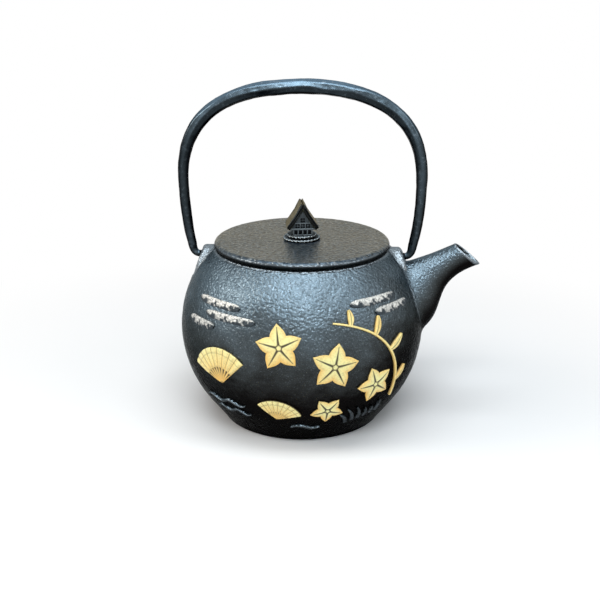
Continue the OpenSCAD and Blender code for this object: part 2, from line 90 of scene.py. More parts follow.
def combined(tree, operation, *values):
    """A maths node of sockets or numbers, kept from 0 to 1."""
    return add_node(tree, "ShaderNodeMath", enumerate(values), operation=operation,
                    use_clamp=True).outputs[0]


def seen_rays(tree):
    """A socket that is 1 for camera, glossy and transmission rays, and 0 for light that bounces."""
    path = add_node(tree, "ShaderNodeLightPath").outputs
    seen = combined(tree, "MAXIMUM", path["Is Camera Ray"], path["Is Glossy Ray"])
    return combined(tree, "MAXIMUM", seen, path["Is Transmission Ray"])


def new_paint(name, colour, roughness, metallic=0.0):
    """A material with a plain Principled shader; returns it, its tree and its shader."""
    paint = bpy.data.materials.new(name)
    paint.use_nodes = True
    tree = paint.node_tree
    shader = tree.nodes["Principled BSDF"]
    plug(tree, shader, {"Base Color": colour, "Roughness": roughness, "Metallic": metallic})
    return paint, tree, shader


scene = bpy.context.scene
scene.view_settings.view_transform = "Standard"
camera_data = bpy.data.cameras.new("camera")
camera_data.lens, camera_data.sensor_width = view_lens, film_width
scene.camera = put("camera", camera_data, view_from,
                   (np.radians(90 - view_pitch), 0, np.radians(view_turn)))

for name, place, aim_z, width, height, watts, colour in soft_boxes:
    lamp = bpy.data.lights.new(name, "AREA")
    lamp.shape, lamp.size, lamp.size_y = "RECTANGLE", width, height
    lamp.energy, lamp.color = watts, colour
    aim = Vector((0, 0, aim_z)) - Vector(place)
    put(name, lamp, place, aim.to_track_quat("-Z", "Y").to_euler())

scene.world = bpy.data.worlds.new("studio")
scene.world.use_nodes = True
sky = scene.world.node_tree
sky.nodes.clear()
dim = add_node(sky, "ShaderNodeBackground", {"Color": sky_blue, "Strength": sky_strength})
plain = add_node(sky, "ShaderNodeBackground", {"Color": white})
sky_mix = add_node(sky, "ShaderNodeMixShader",
                   {0: seen_rays(sky), 1: dim.outputs[0], 2: plain.outputs[0]})
add_node(sky, "ShaderNodeOutputWorld", {"Surface": sky_mix.outputs[0]})

floor_mesh = bpy.data.meshes.new("floor")
floor_mesh.from_pydata([(x * floor_size, y * floor_size, 0) for x, y in
                        ((-1, -1), (1, -1), (1, 1), (-1, 1))], [], [(0, 1, 2, 3)])
floor_paint, floor_tree, floor_shader = new_paint("floor_paint", floor_grey, 0.9)
floor_place = add_node(floor_tree, "ShaderNodeTexCoord").outputs["Object"]
floor_reach = add_node(floor_tree, "ShaderNodeVectorMath", {0: floor_place}, operation="LENGTH")
fade = scaled(floor_tree, floor_reach.outputs["Value"], 0, 1, fade_from, fade_to, "SMOOTHSTEP")
glow = add_node(floor_tree, "ShaderNodeEmission", {"Color": white})
floor_mix = add_node(floor_tree, "ShaderNodeMixShader", {
    0: combined(floor_tree, "MULTIPLY", fade, seen_rays(floor_tree)),
    1: floor_shader.outputs[0], 2: glow.outputs[0]})
plug(floor_tree, floor_tree.nodes["Material Output"], {"Surface": floor_mix.outputs[0]})
floor_mesh.materials.append(floor_paint)
floor = put("floor", floor_mesh)

# --- Body of the pot ----------------------------------------------------------------------
# One iron casting, turned in the mould: a round belly on a foot ring, with a flat rim and an
# inward lip. The outside is left rough from the sand and brushed with dark lacquer.
body_r, belly_z, upper_b, lower_b = 70.0, 54.5, 65.3, 68.0
rim_z, mouth_r, lip_h, wall_t, rim_edge = 100.2, 43.0, 3.5, 3.4, 0.7
foot_r, foot_w, foot_recess, foot_top = 45.3, 5.0, 1.2, 12.0
floor_z, pot_sides, axis_r = 4.8, 440, 0.5
inlet_r, inlet_z, inlet_start, inlet_l, inlet_sides = 10.0, 73.0, 35.0, 60.0, 48
# The third and fourth of these paint light and shade: a pale glint along the rim's outer round, and
# shade down the spout's side of the belly.
sand_depth, sand_in, rim_painted_glint, painted_side_shade = 0.16, 0.28, 0.45, 0.27
# Height, size and seed of each layer of the sand's roughness.
sand_layers = (0.9, 9.0, 4), (0.5, 5.0, 1), (0.35, 2.6, 2)
# The first colour is bare iron for rubbed places, and also serves as the colour of painted glints.
bare_iron_and_glint, iron_glint, iron_specular = (0.36, 0.41, 0.45), (0.36, 0.37, 0.37), 0.3


def unit(value):
    """A value kept from 0 to 1."""
    return np.clip(value, 0, 1)


def points(*parts):
    """Points from their coordinates, each a number or an array."""
    return np.stack(np.broadcast_arrays(*parts), -1)


def full_turn(count):
    """Even angles round a circle, in radians."""
    return np.arange(count) * 2 * np.pi / count


def round_z(r, a, z):
    """Points at a radius, at angles round the Z axis from the -Y side, and at a height."""
    return points(r * np.sin(a), -r * np.cos(a), z)


def normalised(v):
    """Vectors made one long."""
    return v / np.maximum(np.linalg.norm(v, axis=-1, keepdims=True), 1e-9)


def lengths_along(line):
    """Distance from a line's first point to each of its points, down the rows."""
    steps = np.linalg.norm(np.diff(line, axis=0), axis=-1)
    return np.concatenate([0 * steps[:1], np.cumsum(steps, axis=0)])


def round_rad(z, inset):
    """Radius at a height of two half ellipses that meet at the belly, taken in by a wall."""
    depth = np.where(z > belly_z, upper_b, lower_b) - inset
    return (body_r - inset) * np.sqrt(np.maximum(0, 1 - ((z - belly_z) / depth) ** 2))


def body_rad(z):
    """Outer radius at a height: the round body, with a straight skirt below foot_top."""
    skirt = foot_r + (round_rad(foot_top, 0.0) - foot_r) * np.clip(z, 0, foot_top) / foot_top
    return np.where(z > foot_top, round_rad(z, 0.0), skirt)


def lumps(p, *layers):
    """Smooth value noise, as a sum of layers of (height, size, seed). Each layer blends numbers
    from minus its height to its height, hashed on a cubic lattice of its size."""
    total = 0.0
    for height, size, seed in layers:
        q = np.asarray(p) / size + seed * 17.31
        cell = np.floor(q)
        f = q - cell
        f = f * f * (3 - 2 * f)
        blend = 0.0
        for corner in np.ndindex(2, 2, 2):
            c = cell + corner
            h = np.sin(c[..., 0] * 127.1 + c[..., 1] * 311.7 + c[..., 2] * 74.7 + seed) * 43758.5453
            blend = blend + np.prod(np.where(corner, f, 1 - f), axis=-1) * (h - np.floor(h))
        total = total + height * (blend * 2 - 1)
    return total


def new_mesh(corners, faces):
    """A smooth mesh from points in millimetres and faces."""
    mesh = bpy.data.meshes.new("mesh")
    mesh.from_pydata((np.asarray(corners) * MM).tolist(), [], faces)
    mesh.polygons.foreach_set("use_smooth", np.ones(len(mesh.polygons), bool))
    mesh.validate()
    return mesh


def mesh_from_grid(grid, wrap=False, pole_first=False, pole_last=False, flip=False):
    """A mesh from rows and columns of points. wrap joins the last column to the first, and a
    pole closes the first or the last row with a fan to its middle point."""
    rows, cols = grid.shape[:2]
    corners = grid.reshape(-1, 3)
    index = np.arange(rows * cols).reshape(rows, cols)
    a, b = (index, np.roll(index, -1, axis=1)) if wrap else (index[:, :-1], index[:, 1:])
    faces = points(a[:-1], b[:-1], b[1:], a[1:]).reshape(-1, 4).tolist()
    for is_pole, row, near, far in ((pole_first, 0, b, a), (pole_last, -1, a, b)):
        if is_pole:
            faces += points(near[row], far[row], len(corners)).tolist()
            corners = np.vstack([corners, grid[row].mean(axis=0)])
    return new_mesh(corners, [face[::-1] for face in faces] if flip else faces)


def store_values(mesh, name, values):
    """Stores a number for each vertex, under a name that a paint can read."""
    padded = np.zeros(len(mesh.vertices), np.float32)
    padded[:values.size] = values.ravel()
    mesh.attributes.new(name, "FLOAT", "POINT").data.foreach_set("value", padded)


def add_piece(name, mesh, body, slot, paint, *nodes):
    """Puts a mesh in the scene, rides it on a body, paints it and lets it stand for CAD nodes.
    It stores how far each vertex faces up, from -1 to 1, which the paints turn into painted light
    and shade."""
    normals = np.empty(len(mesh.vertices) * 3, np.float32)
    mesh.vertex_normals.foreach_get("vector", normals)
    store_values(mesh, "facing", normals[2::3])
    mesh.name = name
    mesh.materials.append(paint)
    piece = put(name, mesh)
    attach(piece, body)
    if nodes:
        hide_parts(*nodes)
    return piece


def turned(profile, steps, dents=None):
    """Rows of points round the Z axis for a profile of (radius, height) rows; dents moves each
    point along the profile's normal."""
    a = full_turn(steps)
    grid = round_z(profile[:, :1], a, profile[:, 1:])
    if dents is None:
        return grid
    run = normalised(np.gradient(profile, axis=0))
    return grid + round_z(run[:, 1:], a, -run[:, :1]) * dents(grid)[..., None]


def arc(middle, radius, start, end, steps):
    """Points on an arc about a middle, from a start angle to an end angle in degrees."""
    a = np.radians(np.linspace(start, end, steps))
    return points(middle[0] + radius * np.cos(a), middle[1] + radius * np.sin(a))


def skin_profile():
    """Foot, skirt, belly, rim, lip and inner wall, from the axis below to the axis above."""
    rim_r = float(round_rad(rim_z, 0.0))
    under = [(axis_r, foot_recess), (20, foot_recess), (foot_r - foot_w - 0.8, foot_recess),
             (foot_r - foot_w, 0), (foot_r - rim_edge, 0)]
    z = np.linspace(0.8, rim_z - rim_edge, 150)
    top = arc((rim_r - rim_edge - 0.1, rim_z - rim_edge), rim_edge, 20, 90, 5)
    lip = [(mouth_r + 0.3, rim_z), (mouth_r, rim_z - 0.3), (mouth_r, rim_z - lip_h)]
    z_in = np.linspace(rim_z - lip_h, floor_z, 30)
    return np.vstack([under, points(body_rad(z), z), top, lip,
                      points(round_rad(z_in, wall_t), z_in), [(axis_r, floor_z)]])


def sand_skin(p):
    """Depth of the rough casting at a point, always inwards, and only on the outside."""
    outside = (np.hypot(p[..., 0], p[..., 1]) > body_rad(p[..., 2]) - 1.2) & (p[..., 2] > 1)
    return np.where(outside, sand_depth * lumps(p, *sand_layers) - sand_in, 0.0)


def grain_group():
    """Cast grain at a given size. Puts out the height of fine noise and cells, a mask of
    speckles, and wide soft patches."""
    tree = bpy.data.node_groups.new("cast_grain", "ShaderNodeTree")
    tree.interface.new_socket("Size", in_out="INPUT", socket_type="NodeSocketFloat")
    for name in ("Height", "Speckle", "Patch"):
        tree.interface.new_socket(name, in_out="OUTPUT", socket_type="NodeSocketFloat")
    size = add_node(tree, "NodeGroupInput").outputs["Size"]
    place = add_node(tree, "ShaderNodeTexCoord").outputs["Object"]
    at = add_node(tree, "ShaderNodeVectorMath", {0: place, 1: size}, operation="DIVIDE").outputs[0]
    fine, specks, wide = [
        add_node(tree, "ShaderNodeTexNoise", {"Vector": at, "Scale": scale, "Detail": detail})
        .outputs["Fac"] for scale, detail in ((1.0, 1.2), (1.7, 2.0), (0.055, 3.0))]
    cells = add_node(tree, "ShaderNodeTexVoronoi", {"Vector": at, "Scale": 0.8},
                     feature="SMOOTH_F1").outputs["Distance"]
    height = add_node(tree, "ShaderNodeMath", {0: cells, 1: 0.5, 2: fine},
                      operation="MULTIPLY_ADD").outputs[0]
    add_node(tree, "NodeGroupOutput", {
        "Height": height, "Speckle": scaled(tree, specks, 0, 1, 0.56, 0.72, "SMOOTHSTEP"),
        "Patch": wide})
    return tree


cast_grain = grain_group()


def grain_at(tree, size):
    """The height, speckle and patch sockets of the cast grain at a size."""
    grain = add_node(tree, "ShaderNodeGroup", {"Size": size}, node_tree=cast_grain)
    return [grain.outputs[name] for name in ("Height", "Speckle", "Patch")]


def mix_colours(tree, factor, low, high):
    """A colour mix from low to high by a factor socket; low and high are colours or sockets. The
    node's inputs 6 and 7 and its output 2 are the ones for colours."""
    return add_node(tree, "ShaderNodeMix", {"Factor": factor, 6: low, 7: high},
                    data_type="RGBA").outputs[2]


def bumped(tree, height, distance, strength):
    """The normal of a bump of a height socket."""
    return add_node(tree, "ShaderNodeBump", {
        "Height": height, "Distance": distance, "Strength": strength}).outputs["Normal"]


def named_value(tree, name):
    """A socket with a number that store_values has stored."""
    return add_node(tree, "ShaderNodeAttribute", attribute_name=name).outputs["Fac"]


def iron_paint(name, low, high, speck, size, roughness, depth, metallic=0.9, turn=(-0.45, 0.62)):
    """Lacquered cast iron, with painted light and shade. By how far a surface faces up, over the
    range in turn, it runs from a near-black painted shade on what faces down, through a warmer
    grey, to a pale painted highlight on what faces up, and patches break that up. The grain
    carries pale specks, which show most in the painted highlight, a bump and uneven gloss. Where
    a piece stores painted shade, it is darker still, and paler where that value is below zero.
    Where it stores a worn value, it goes to the bare iron colour, as rubbing on some pieces and
    as a painted glint on others."""
    paint, tree, shader = new_paint(name, high, roughness, metallic)
    height, speckle, patch = grain_at(tree, size)
    # Painted light and shade: the tone rises with how far the surface faces up, and the stored
    # painted shade takes from it.
    tone = combined(tree, "ADD", scaled(tree, named_value(tree, "facing"), 0, 1, *turn),
                    scaled(tree, patch, -0.06, 0.06, 0.38, 0.62))
    tone = combined(tree, "SUBTRACT", tone, named_value(tree, "painted_shade"))
    tone = scaled(tree, tone, 0, 1, ease="SMOOTHSTEP")
    darker, paler, warmer = [tuple(np.multiply(high, k).tolist())
                             for k in (0.8, 1.2, (1.25, 1.0, 0.8))]
    top = mix_colours(tree, scaled(tree, patch, 0, 1, 0.36, 0.64), darker, paler)
    base = mix_colours(tree, tone, low, mix_colours(tree, tone, warmer, top))
    flecks = combined(tree, "MULTIPLY", scaled(tree, speckle, 0, 0.6), tone)
    rubbed_and_glint = combined(tree, "MULTIPLY", named_value(tree, "worn"),
                      scaled(tree, height, 0.55, 1, 0.45, 0.8))
    coat = mix_colours(tree, flecks, base, speck)
    plug(tree, shader, {
        "Base Color": mix_colours(tree, rubbed_and_glint, coat, bare_iron_and_glint),
        "Roughness": scaled(tree, height, roughness - 0.08, roughness + 0.14, 0.4, 1.0),
        "Specular Tint": iron_glint, "Specular IOR Level": iron_specular,
        "Normal": bumped(tree, height, depth, 0.8)})
    return paint


def finished(shape, smooth=True):
    """A mesh from a bmesh, which is let go."""
    mesh = bpy.data.meshes.new("mesh")
    shape.to_mesh(mesh)
    shape.free()
    if smooth:
        mesh.polygons.foreach_set("use_smooth", np.ones(len(mesh.polygons), bool))
    return mesh


def bore_inlet(piece):
    """Cuts the hole that leads to the spout through the wall, along X."""
    shape = bmesh.new()
    middle = Matrix.Translation(((inlet_start + inlet_l / 2) * MM, 0, inlet_z * MM))
    bmesh.ops.create_cone(shape, cap_ends=True, segments=inlet_sides, radius1=inlet_r * MM,
                          radius2=inlet_r * MM, depth=inlet_l * MM,
                          matrix=middle @ Matrix.Rotation(np.pi / 2, 4, "Y"))
    cutter = put("cutter", finished(shape, smooth=False))
    cut = piece.modifiers.new("hole", "BOOLEAN")
    cut.operation, cut.object, cut.solver = "DIFFERENCE", cutter, "EXACT"
    bpy.context.view_layer.update()
    view = bpy.context.evaluated_depsgraph_get()
    drilled = bpy.data.meshes.new_from_object(piece.evaluated_get(view))
    piece.modifiers.clear()
    piece.data = drilled
    bpy.data.objects.remove(cutter)


pot_profile = skin_profile()
pot_mesh = mesh_from_grid(turned(pot_profile, pot_sides, sand_skin), wrap=True, pole_first=True,
                          pole_last=True)
# Painted light and shade on the body: a pale glint along the rim's outer round, stored as a worn
# value, and shade down the spout's side.
rim_glint_rows = unit((pot_profile[:, 1] - rim_z + 0.75) / 0.3) * (pot_profile[:, 0] > mouth_r + 2)
spout_side = unit((np.sin(full_turn(pot_sides)) - 0.5) / 0.35)
store_values(pot_mesh, "worn", np.repeat(rim_painted_glint * rim_glint_rows, pot_sides))
store_values(pot_mesh, "painted_shade", np.tile(painted_side_shade * spout_side, len(pot_profile)))
# body_iron's low colour is painted shade on what faces down, and its high colour a pale blue
# painted highlight on what faces up.
body_iron = iron_paint("body_iron", low=(0.004, 0.003, 0.003), high=(0.092, 0.126, 0.152),
                       speck=(0.24, 0.29, 0.33), size=0.0013, roughness=0.26, depth=0.0007)
pot_body = add_piece("pot_body", pot_mesh, "pot", "cast_iron", body_iron, "pot_shell")
bore_inlet(pot_body)

# --- Spout ----------------------------------------------------------------------------------
# Cast with the body: a hollow horn of ovals that shrink towards a cut mouth with a pinched lip,
# and a small fillet where it grows out of the belly.
root_top, root_low, root_w, spout_sink = 91.0, 50.5, 18.0, 5.0
mouth_top, pour_lip = np.array([86.9, 102.9]), np.array([101.5, 91.3])
mouth_w, root_t, mouth_t, lip_pinch, mouth_cut = 7.3, 3.2, 1.0, 0.3, 0.988
spout_sides, spout_fillet, spout_heart = 96, 3.6, np.array([66.0, 0, 72.0])
# How far the top line and the low line bow out past the root, and how the low one nears the lip.
top_bow, low_bow, lip_bow = (0.34, 2.5), (19.2, 13.3), (-0.9, -12.1)
# The third to fifth of these are painted light and shade: a pale glint on the fillet at the root,
# rubbing and a glint on the lip, and how much paler the top and darker the underside are painted.
fillet_sink, spout_rough, fillet_painted_glint, lip_wear_and_glint, spout_light_and_shade = 0.35, 0.1, 0.35, 0.6, 0.24


def curve(controls, t):
    """A Bezier curve of any number of control points, for every t."""
    t = np.asarray(t)[..., None]
    controls = [np.asarray(p, float) for p in controls]
    while len(controls) > 1:
        controls = [p + (q - p) * t for p, q in zip(controls, controls[1:])]
    return controls[0]


def horn(t, a, wall):
    """Points of the spout: ovals hung between a top line and a low line, at angles a in radians
    from the top, taken in by a wall."""
    r_top, r_low = float(body_rad(np.array(root_top))), float(body_rad(np.array(root_low)))
    top = curve([(r_top - spout_sink, root_top - 1),
                 (r_top + (mouth_top[0] - r_top) * top_bow[0], root_top + top_bow[1]),
                 mouth_top], t)
    low = curve([(r_low - spout_sink, root_low - 2.6), (r_low + low_bow[0], root_low + low_bow[1]),
                 (r_low + lip_bow[0], pour_lip[1] + lip_bow[1]), pour_lip], t)
    mid, half = (top + low) / 2, (top - low) / 2
    long = half * (1 - np.asarray(wall)[..., None] / np.linalg.norm(half, axis=-1, keepdims=True))
    wide = mouth_w + (root_w - mouth_w) * (1 - t) ** 2 - wall
    pinch = 1 - lip_pinch * t ** 3 * (1 - np.cos(a)) / 2
    xz = mid + long * np.cos(a)[..., None]
    return points(xz[..., 0], wide * pinch * np.sin(a), xz[..., 1])


def spout_skin():
    """The outside from a fillet on the belly to the mouth, round the lip, and back down the
    bore, with a painted glint on the fillet, a worn and glinting lip, painted light on the top and
    painted shade underneath."""
    a, each = full_turn(spout_sides), np.arange(spout_sides)
    fine = np.linspace(0, 1, 400)
    walk = horn(fine[:, None], a, 0.0)
    start = np.argmax(np.hypot(walk[..., 0], walk[..., 1]) > body_rad(walk[..., 2]), axis=0)
    along = lengths_along(walk)
    after = np.array([np.interp(along[start[k], k] + spout_fillet, along[:, k], fine)
                      for k in each])
    corner = walk[start, each]
    out = normalised(points(corner[:, 0], corner[:, 1], 0.75 * (corner[:, 2] - belly_z)))
    away = corner - spout_heart
    away = normalised(away - out * np.sum(away * out, axis=1)[:, None])
    foot = corner + away * spout_fillet
    foot_r_in = body_rad(foot[:, 2]) - fillet_sink
    foot[:, :2] *= (foot_r_in / np.hypot(foot[:, 0], foot[:, 1]))[:, None]
    base = curve([foot, corner, horn(after, a, 0.0)], np.linspace(0, 1, 9)[:, None])
    outer = horn(after + (mouth_cut - after) * np.linspace(0, 1, 60)[1:, None], a, 0.0)
    lip = np.linspace(0, np.pi, 7)[1:-1, None]
    rim = horn(mouth_cut + (1 - mouth_cut) * np.sin(lip), a, mouth_t * (1 - np.cos(lip)) / 2)
    t_in = np.linspace(mouth_cut, 0.1, 40)[:, None]
    bore = horn(t_in, a, root_t + (mouth_t - root_t) * t_in)
    skin = np.vstack([base, outer, rim, bore])
    mouth_row = len(base) + len(outer) - 1
    push = normalised(skin - skin.mean(axis=1, keepdims=True))
    rough = spout_rough * lumps(skin, (0.6, 5.0, 1), (0.4, 2.6, 2)) - spout_rough
    rough[mouth_row:] = 0
    skin = skin + push * rough[..., None]
    # A painted glint on the fillet rows, rubbing and a painted glint on the lip, and painted light
    # on top and painted shade underneath.
    wear_and_glint = np.zeros(skin.shape[:2])
    wear_and_glint[1:3] = fillet_painted_glint * unit(np.cos(a) + 0.8)
    wear_and_glint[mouth_row:mouth_row + len(rim) + 1] = lip_wear_and_glint
    painted_shade = -spout_light_and_shade * np.cos(a) + 0 * wear_and_glint
    return [np.vstack([v, v[:1]]) for v in (skin, wear_and_glint, painted_shade)]


spout_grid, spout_wear_and_glint, spout_painted_shading = spout_skin()
spout_mesh = mesh_from_grid(spout_grid, wrap=True, flip=True)
store_values(spout_mesh, "worn", spout_wear_and_glint)
store_values(spout_mesh, "painted_shade", spout_painted_shading)
add_piece("spout_horn", spout_mesh, "pot", "cast_iron", body_iron, "spout")

# --- Raised ornament ------------------------------------------------------------------------
# Bellflowers, open fans, a stem, reeds and bands of mist stand low on the belly. They are cast
# with the pot; the flowers and fans are then painted gold, and the mist is rubbed with silver.
relief_h, low_relief_h, relief_sink, paint_grain = 1.3, 0.9, 0.5, 0.0009
blossom_r, petal_notch, petal_half, blossom_sides = 13.5, 0.42, np.radians(36), 160
fan_r, fan_spread, fan_pleats, pleat_steps = 21.0, 118.0, 9, 16
stem_w, reed_w, reed_count, water_w, mist_w = 1.6, 2.4, 6, 1.7, 4.4
# Azimuth, latitude, size and turn of each flower and fan.
blossoms = [(-7, 8.5, 0.96, 8), (17.5, -1, 1.0, -10), (38.5, -13.5, 0.84, 20), (15.5, -25, 0.7, 35)]
fans = [(-36, -14, 1.0, -12), (-10, -31, 0.68, 16)]
stem_points = [(52, -24), (52, 4), (38, 16), (17, 19.5)]
# Place on the stem, length, direction and width of each leaf.
leaves = [(0.12, 10, 30, 3.6), (0.4, 12, 15, 4.0), (0.62, 11, 50, 3.8), (0.86, 9, 70, 3.4)]
# Azimuth of both ends, latitude, and the count of waves.
waters = [(-52, -26, -25.5, 2), (-47, -24, -31, 2), (-3, 13, -37.5, 1)]
mists = [(-56, -28, 24), (-48, -19, 18.5), (-60, -41, 12.8), (27, 56, 27), (40, 64, 21.6)]
# Place of the first reed and the step to the next, and how long they are and how they lean.
reed_place, reed_step = np.array([27.5, -36.0]), np.array([3.6, 0.8])
reed_l, reed_uneven, reed_aim, reed_lean = 9.5, 3, 100, 6


def on_skin(place, x, y, h):
    """Points x to the right and y up along the belly from a place (azimuth, latitude in degrees),
    standing h off it. The latitude turns the upper or the lower half ellipse."""
    b = np.where(place[1] + y / body_r > 0, upper_b, lower_b)
    lat = np.radians(place[1]) + y / b
    r, k = body_r * np.cos(lat), 1 + h / body_r
    tall = np.where(lat > 0, upper_b, lower_b)
    return round_z(r * k, np.radians(place[0]) + x / r, belly_z + tall * np.sin(lat) * k)


def tone_mesh(mesh, groove, tone):
    """Stores two values a vertex for the paint: groove, dark where 1, and tone, pale to deep, which
    carries painted shading.
    """
    tones = mesh.attributes.new("tones", "FLOAT_COLOR", "POINT")
    values = np.zeros((len(mesh.vertices), 4))
    values[:groove.size, 0], values[:tone.size, 1] = unit(groove).ravel(), tone.ravel()
    values[:, 3] = 1
    tones.data.foreach_set("color", values.astype(np.float32).ravel())


def taken_in(*meshes):
    """A bmesh of meshes with their attributes; the meshes are removed."""
    shape = bmesh.new()
    for mesh in meshes:
        shape.from_mesh(mesh)
        bpy.data.meshes.remove(mesh)
    return shape


def joined(meshes):
    """One mesh out of several."""
    return finished(taken_in(*meshes))


def blossom(azimuth, latitude, size, spin):
    """Five petals on rings round the middle. The outline runs straight from tip to notch with a
    slight bulge; height falls at the rim and between petals; a vein is cut down each petal."""
    r, notch = size * blossom_r, size * blossom_r * (1 - petal_notch)
    t = 1 - np.abs(np.arange(blossom_sides) / blossom_sides * 10 % 2 - 1)
    turn = t * petal_half
    edge = r * notch * np.sin(petal_half) / (r * np.sin(turn) + notch * np.sin(petal_half - turn))
    edge = edge + 0.06 * r * np.sin(np.pi * t)
    u = np.concatenate([[0.02], np.linspace(0.07, 0.93, 22), [0.965, 0.99, 1.0, 1.0, 1.0]])[:, None]
    around = full_turn(blossom_sides) + np.radians(90 + spin)
    rho = u * edge
    x, y = rho * np.cos(around), rho * np.sin(around)
    dome = 0.9 * relief_h * (1 - 0.3 * u ** 4) * (1 - 0.32 * t * t * u)
    dome = dome * (0.72 + 0.28 * np.minimum(1, u * 3))
    vein = unit(1.7 - 1.7 * rho * np.abs(np.sin(turn)) / (1.15 - u)) * (u > 0.12) * (u < 0.86)
    eye = unit(1.4 - 1.4 * np.abs(rho - 1.5) / 0.4)
    groove = unit(vein + eye)
    drop = np.zeros_like(u)
    drop[-4:, 0] = [0.18, 0.45, 0.85, 1.0]
    height = dome * (1 - drop) - 0.38 * groove - relief_sink * (drop >= 1)
    height = height - lumps(points(x, y, height), (0.05 * relief_h, 2.2, 7))
    mesh = mesh_from_grid(on_skin((azimuth, latitude), x, y, height), wrap=True, pole_first=True,
                          flip=True)
    # Painted shading: deeper towards the rim, at the notches between petals and on the lower side,
    # paler on the upper side.
    tone = 0.05 + 0.75 * u ** 2.5 + 0.1 * t - 0.2 * np.sin(around) * u
    tone_mesh(mesh, groove + (drop > 0.6), unit(tone))
    return mesh


def open_fan(azimuth, latitude, size, tilt):
    """A sector round a pivot: pleats fold up and down along the angle on the leaf, and thin ribs
    with gaps between them run from the leaf to the pivot."""
    r, n = size * fan_r, fan_pleats * pleat_steps
    s = np.linspace(0, 1, n + 1)
    beta = np.radians(fan_spread * (s - 0.5) + tilt)
    rho = np.concatenate([[0.03, 0.05], np.linspace(0.08, 0.44, 14), [0.455, 0.47, 0.49],
                          np.linspace(0.53, 0.97, 16), [0.99, 1.0, 1.0, 1.0]])[:, None] * r
    fold = np.abs(((s * 2 * fan_pleats) % 2) - 1)
    on_leaf = unit((rho / r - 0.455) / 0.03)
    rib = unit(1.25 - np.abs(fold - 1) * rho * np.radians(fan_spread) / fan_pleats / 1.1)
    rib = rib ** 0.5 * (rho > 0.06 * r)
    hub = unit(1.3 - rho / 1.2)
    height = on_leaf * (0.62 + 0.38 * (1 - fold)) + (1 - on_leaf) * (0.12 + 0.5 * rib)
    height = relief_h * np.maximum(height, 0.75 * hub)
    line = unit(1 - np.abs(rho - 0.86 * r) / 0.3) * on_leaf
    crease = unit(1 - (1 - fold) / 0.09) * on_leaf
    groove = unit(np.maximum(line * 0.8, crease) + (1 - on_leaf) * (1 - rib) * (1 - hub))
    drop = np.zeros_like(rho)
    drop[-3:, 0] = [0.35, 0.8, 1.0]
    side = unit(np.minimum(s, 1 - s) * n / 2)
    height = height * (1 - drop) * side - 0.22 * line
    height = height - relief_sink * np.maximum(drop >= 1, side <= 0)
    x, y = rho * np.sin(beta), rho * np.cos(beta)
    height = height - lumps(points(y, x, height), (0.05, 1.8, 9))
    mesh = mesh_from_grid(on_skin((azimuth, latitude), x, y, height)[:, ::-1], flip=True)
    # Painted shading: deeper towards the pivot, which lies low, and in the pleats' valleys.
    tone = unit(0.15 + 0.75 * (1 - rho / r) + 0.25 * fold)
    tone_mesh(mesh, (groove + (drop > 0.5))[:, ::-1], tone[:, ::-1])
    return mesh


def strip(line, width, h, steps=60, rough=0.0, vein=False, across=14, bare=None):
    """A low strip along a line of (azimuth, latitude) for s from 0 to 1, as wide as width(s), with
    a rounded back, an uneven surface and, on a leaf, a cut vein. bare(s, q, spot) says where it
    has no paint, for q from -1 to 1 across it."""
    s = np.linspace(0, 1, steps + 1)[:, None]
    q = np.linspace(-1, 1, across + 1)
    azimuth, latitude = np.moveaxis(line(s), -1, 0)
    run = line(s + 0.01) - line(s - 0.01)
    run[..., 0] *= np.cos(np.radians(latitude))
    run = normalised(run)
    w = width(s) / 2 * np.sin(q * np.pi / 2)
    back = np.sqrt(unit(1 - np.abs(q) ** 3))
    groove = (np.abs(q) < 0.12) * 1.0 * vein + 0 * w
    x, y = -run[..., 1] * w, run[..., 0] * w
    spot = points(x + 40 * s, y, 0.0)
    height = h * back - 0.25 * groove + rough * lumps(spot, (0.6, 2.0, 5), (0.4, 0.9, 6)) * back
    height = np.where(np.abs(q) > 0.999, -relief_sink, height)
    mesh = mesh_from_grid(on_skin((azimuth, latitude), x, y, height), flip=True)
    if bare is not None:
        groove = groove + bare(s, q, spot)
    # A worn value along the crest, partly rubbing and partly a painted glint.
    store_values(mesh, "worn", 0.25 * back + 0 * w)
    # Painted shading: deeper down the sloping sides of the strip than along its crest.
    tone_mesh(mesh, groove + (np.abs(q) > 0.93), 0.4 + 0.4 * np.abs(q) + 0 * w)
    return mesh


def leaf_line(place, length, aim):
    """A line from a place, curving by 20 degrees from an aim."""
    def line(s):
        turn = np.radians(aim + 20 * s)
        step = np.degrees(s * length / body_r)
        return points(place[0] + step * np.cos(turn) / np.cos(np.radians(place[1])),
                      place[1] + step * np.sin(turn))
    return line


def spindle(s, w):
    """Width of a leaf along its length."""
    return w * np.maximum(0.12, np.sin(np.pi * unit(s)) ** 0.7)


def toned_paint(name, pale, deep, cut, roughness, metallic, rub, bump):
    """Paint on the relief: pale to deep by the stored tone, which is painted shading, dark in the
    grooves, and rubbed through to the iron on the grain as far as rub says."""
    paint, tree, shader = new_paint(name, pale, roughness, metallic)
    tones = add_node(tree, "ShaderNodeAttribute", attribute_name="tones").outputs["Color"]
    groove, tone = add_node(tree, "ShaderNodeSeparateColor", {0: tones}).outputs[:2]
    height, _, patch = grain_at(tree, paint_grain)
    blend = combined(tree, "MULTIPLY_ADD", scaled(tree, patch, -0.6, 0.6), 0.6, tone)
    worn = combined(tree, "MAXIMUM", scaled(tree, height, rub, 0.0, 0.45, 0.75), groove)
    plug(tree, shader, {
        "Base Color": mix_colours(tree, worn, mix_colours(tree, blend, pale, deep), cut),
        "Roughness": scaled(tree, worn, roughness, 0.6), "Normal": bumped(tree, height, bump, 0.5)})
    return paint


def stem_line(s):
    """The stem's place at s."""
    return curve(stem_points, s)


def level_line(start, end, latitude, rise=0.0, waves=0):
    """A line between two azimuths that waves up and down."""
    return lambda s: points(start + (end - start) * s,
                            latitude + rise * np.sin(2 * np.pi * waves * s))


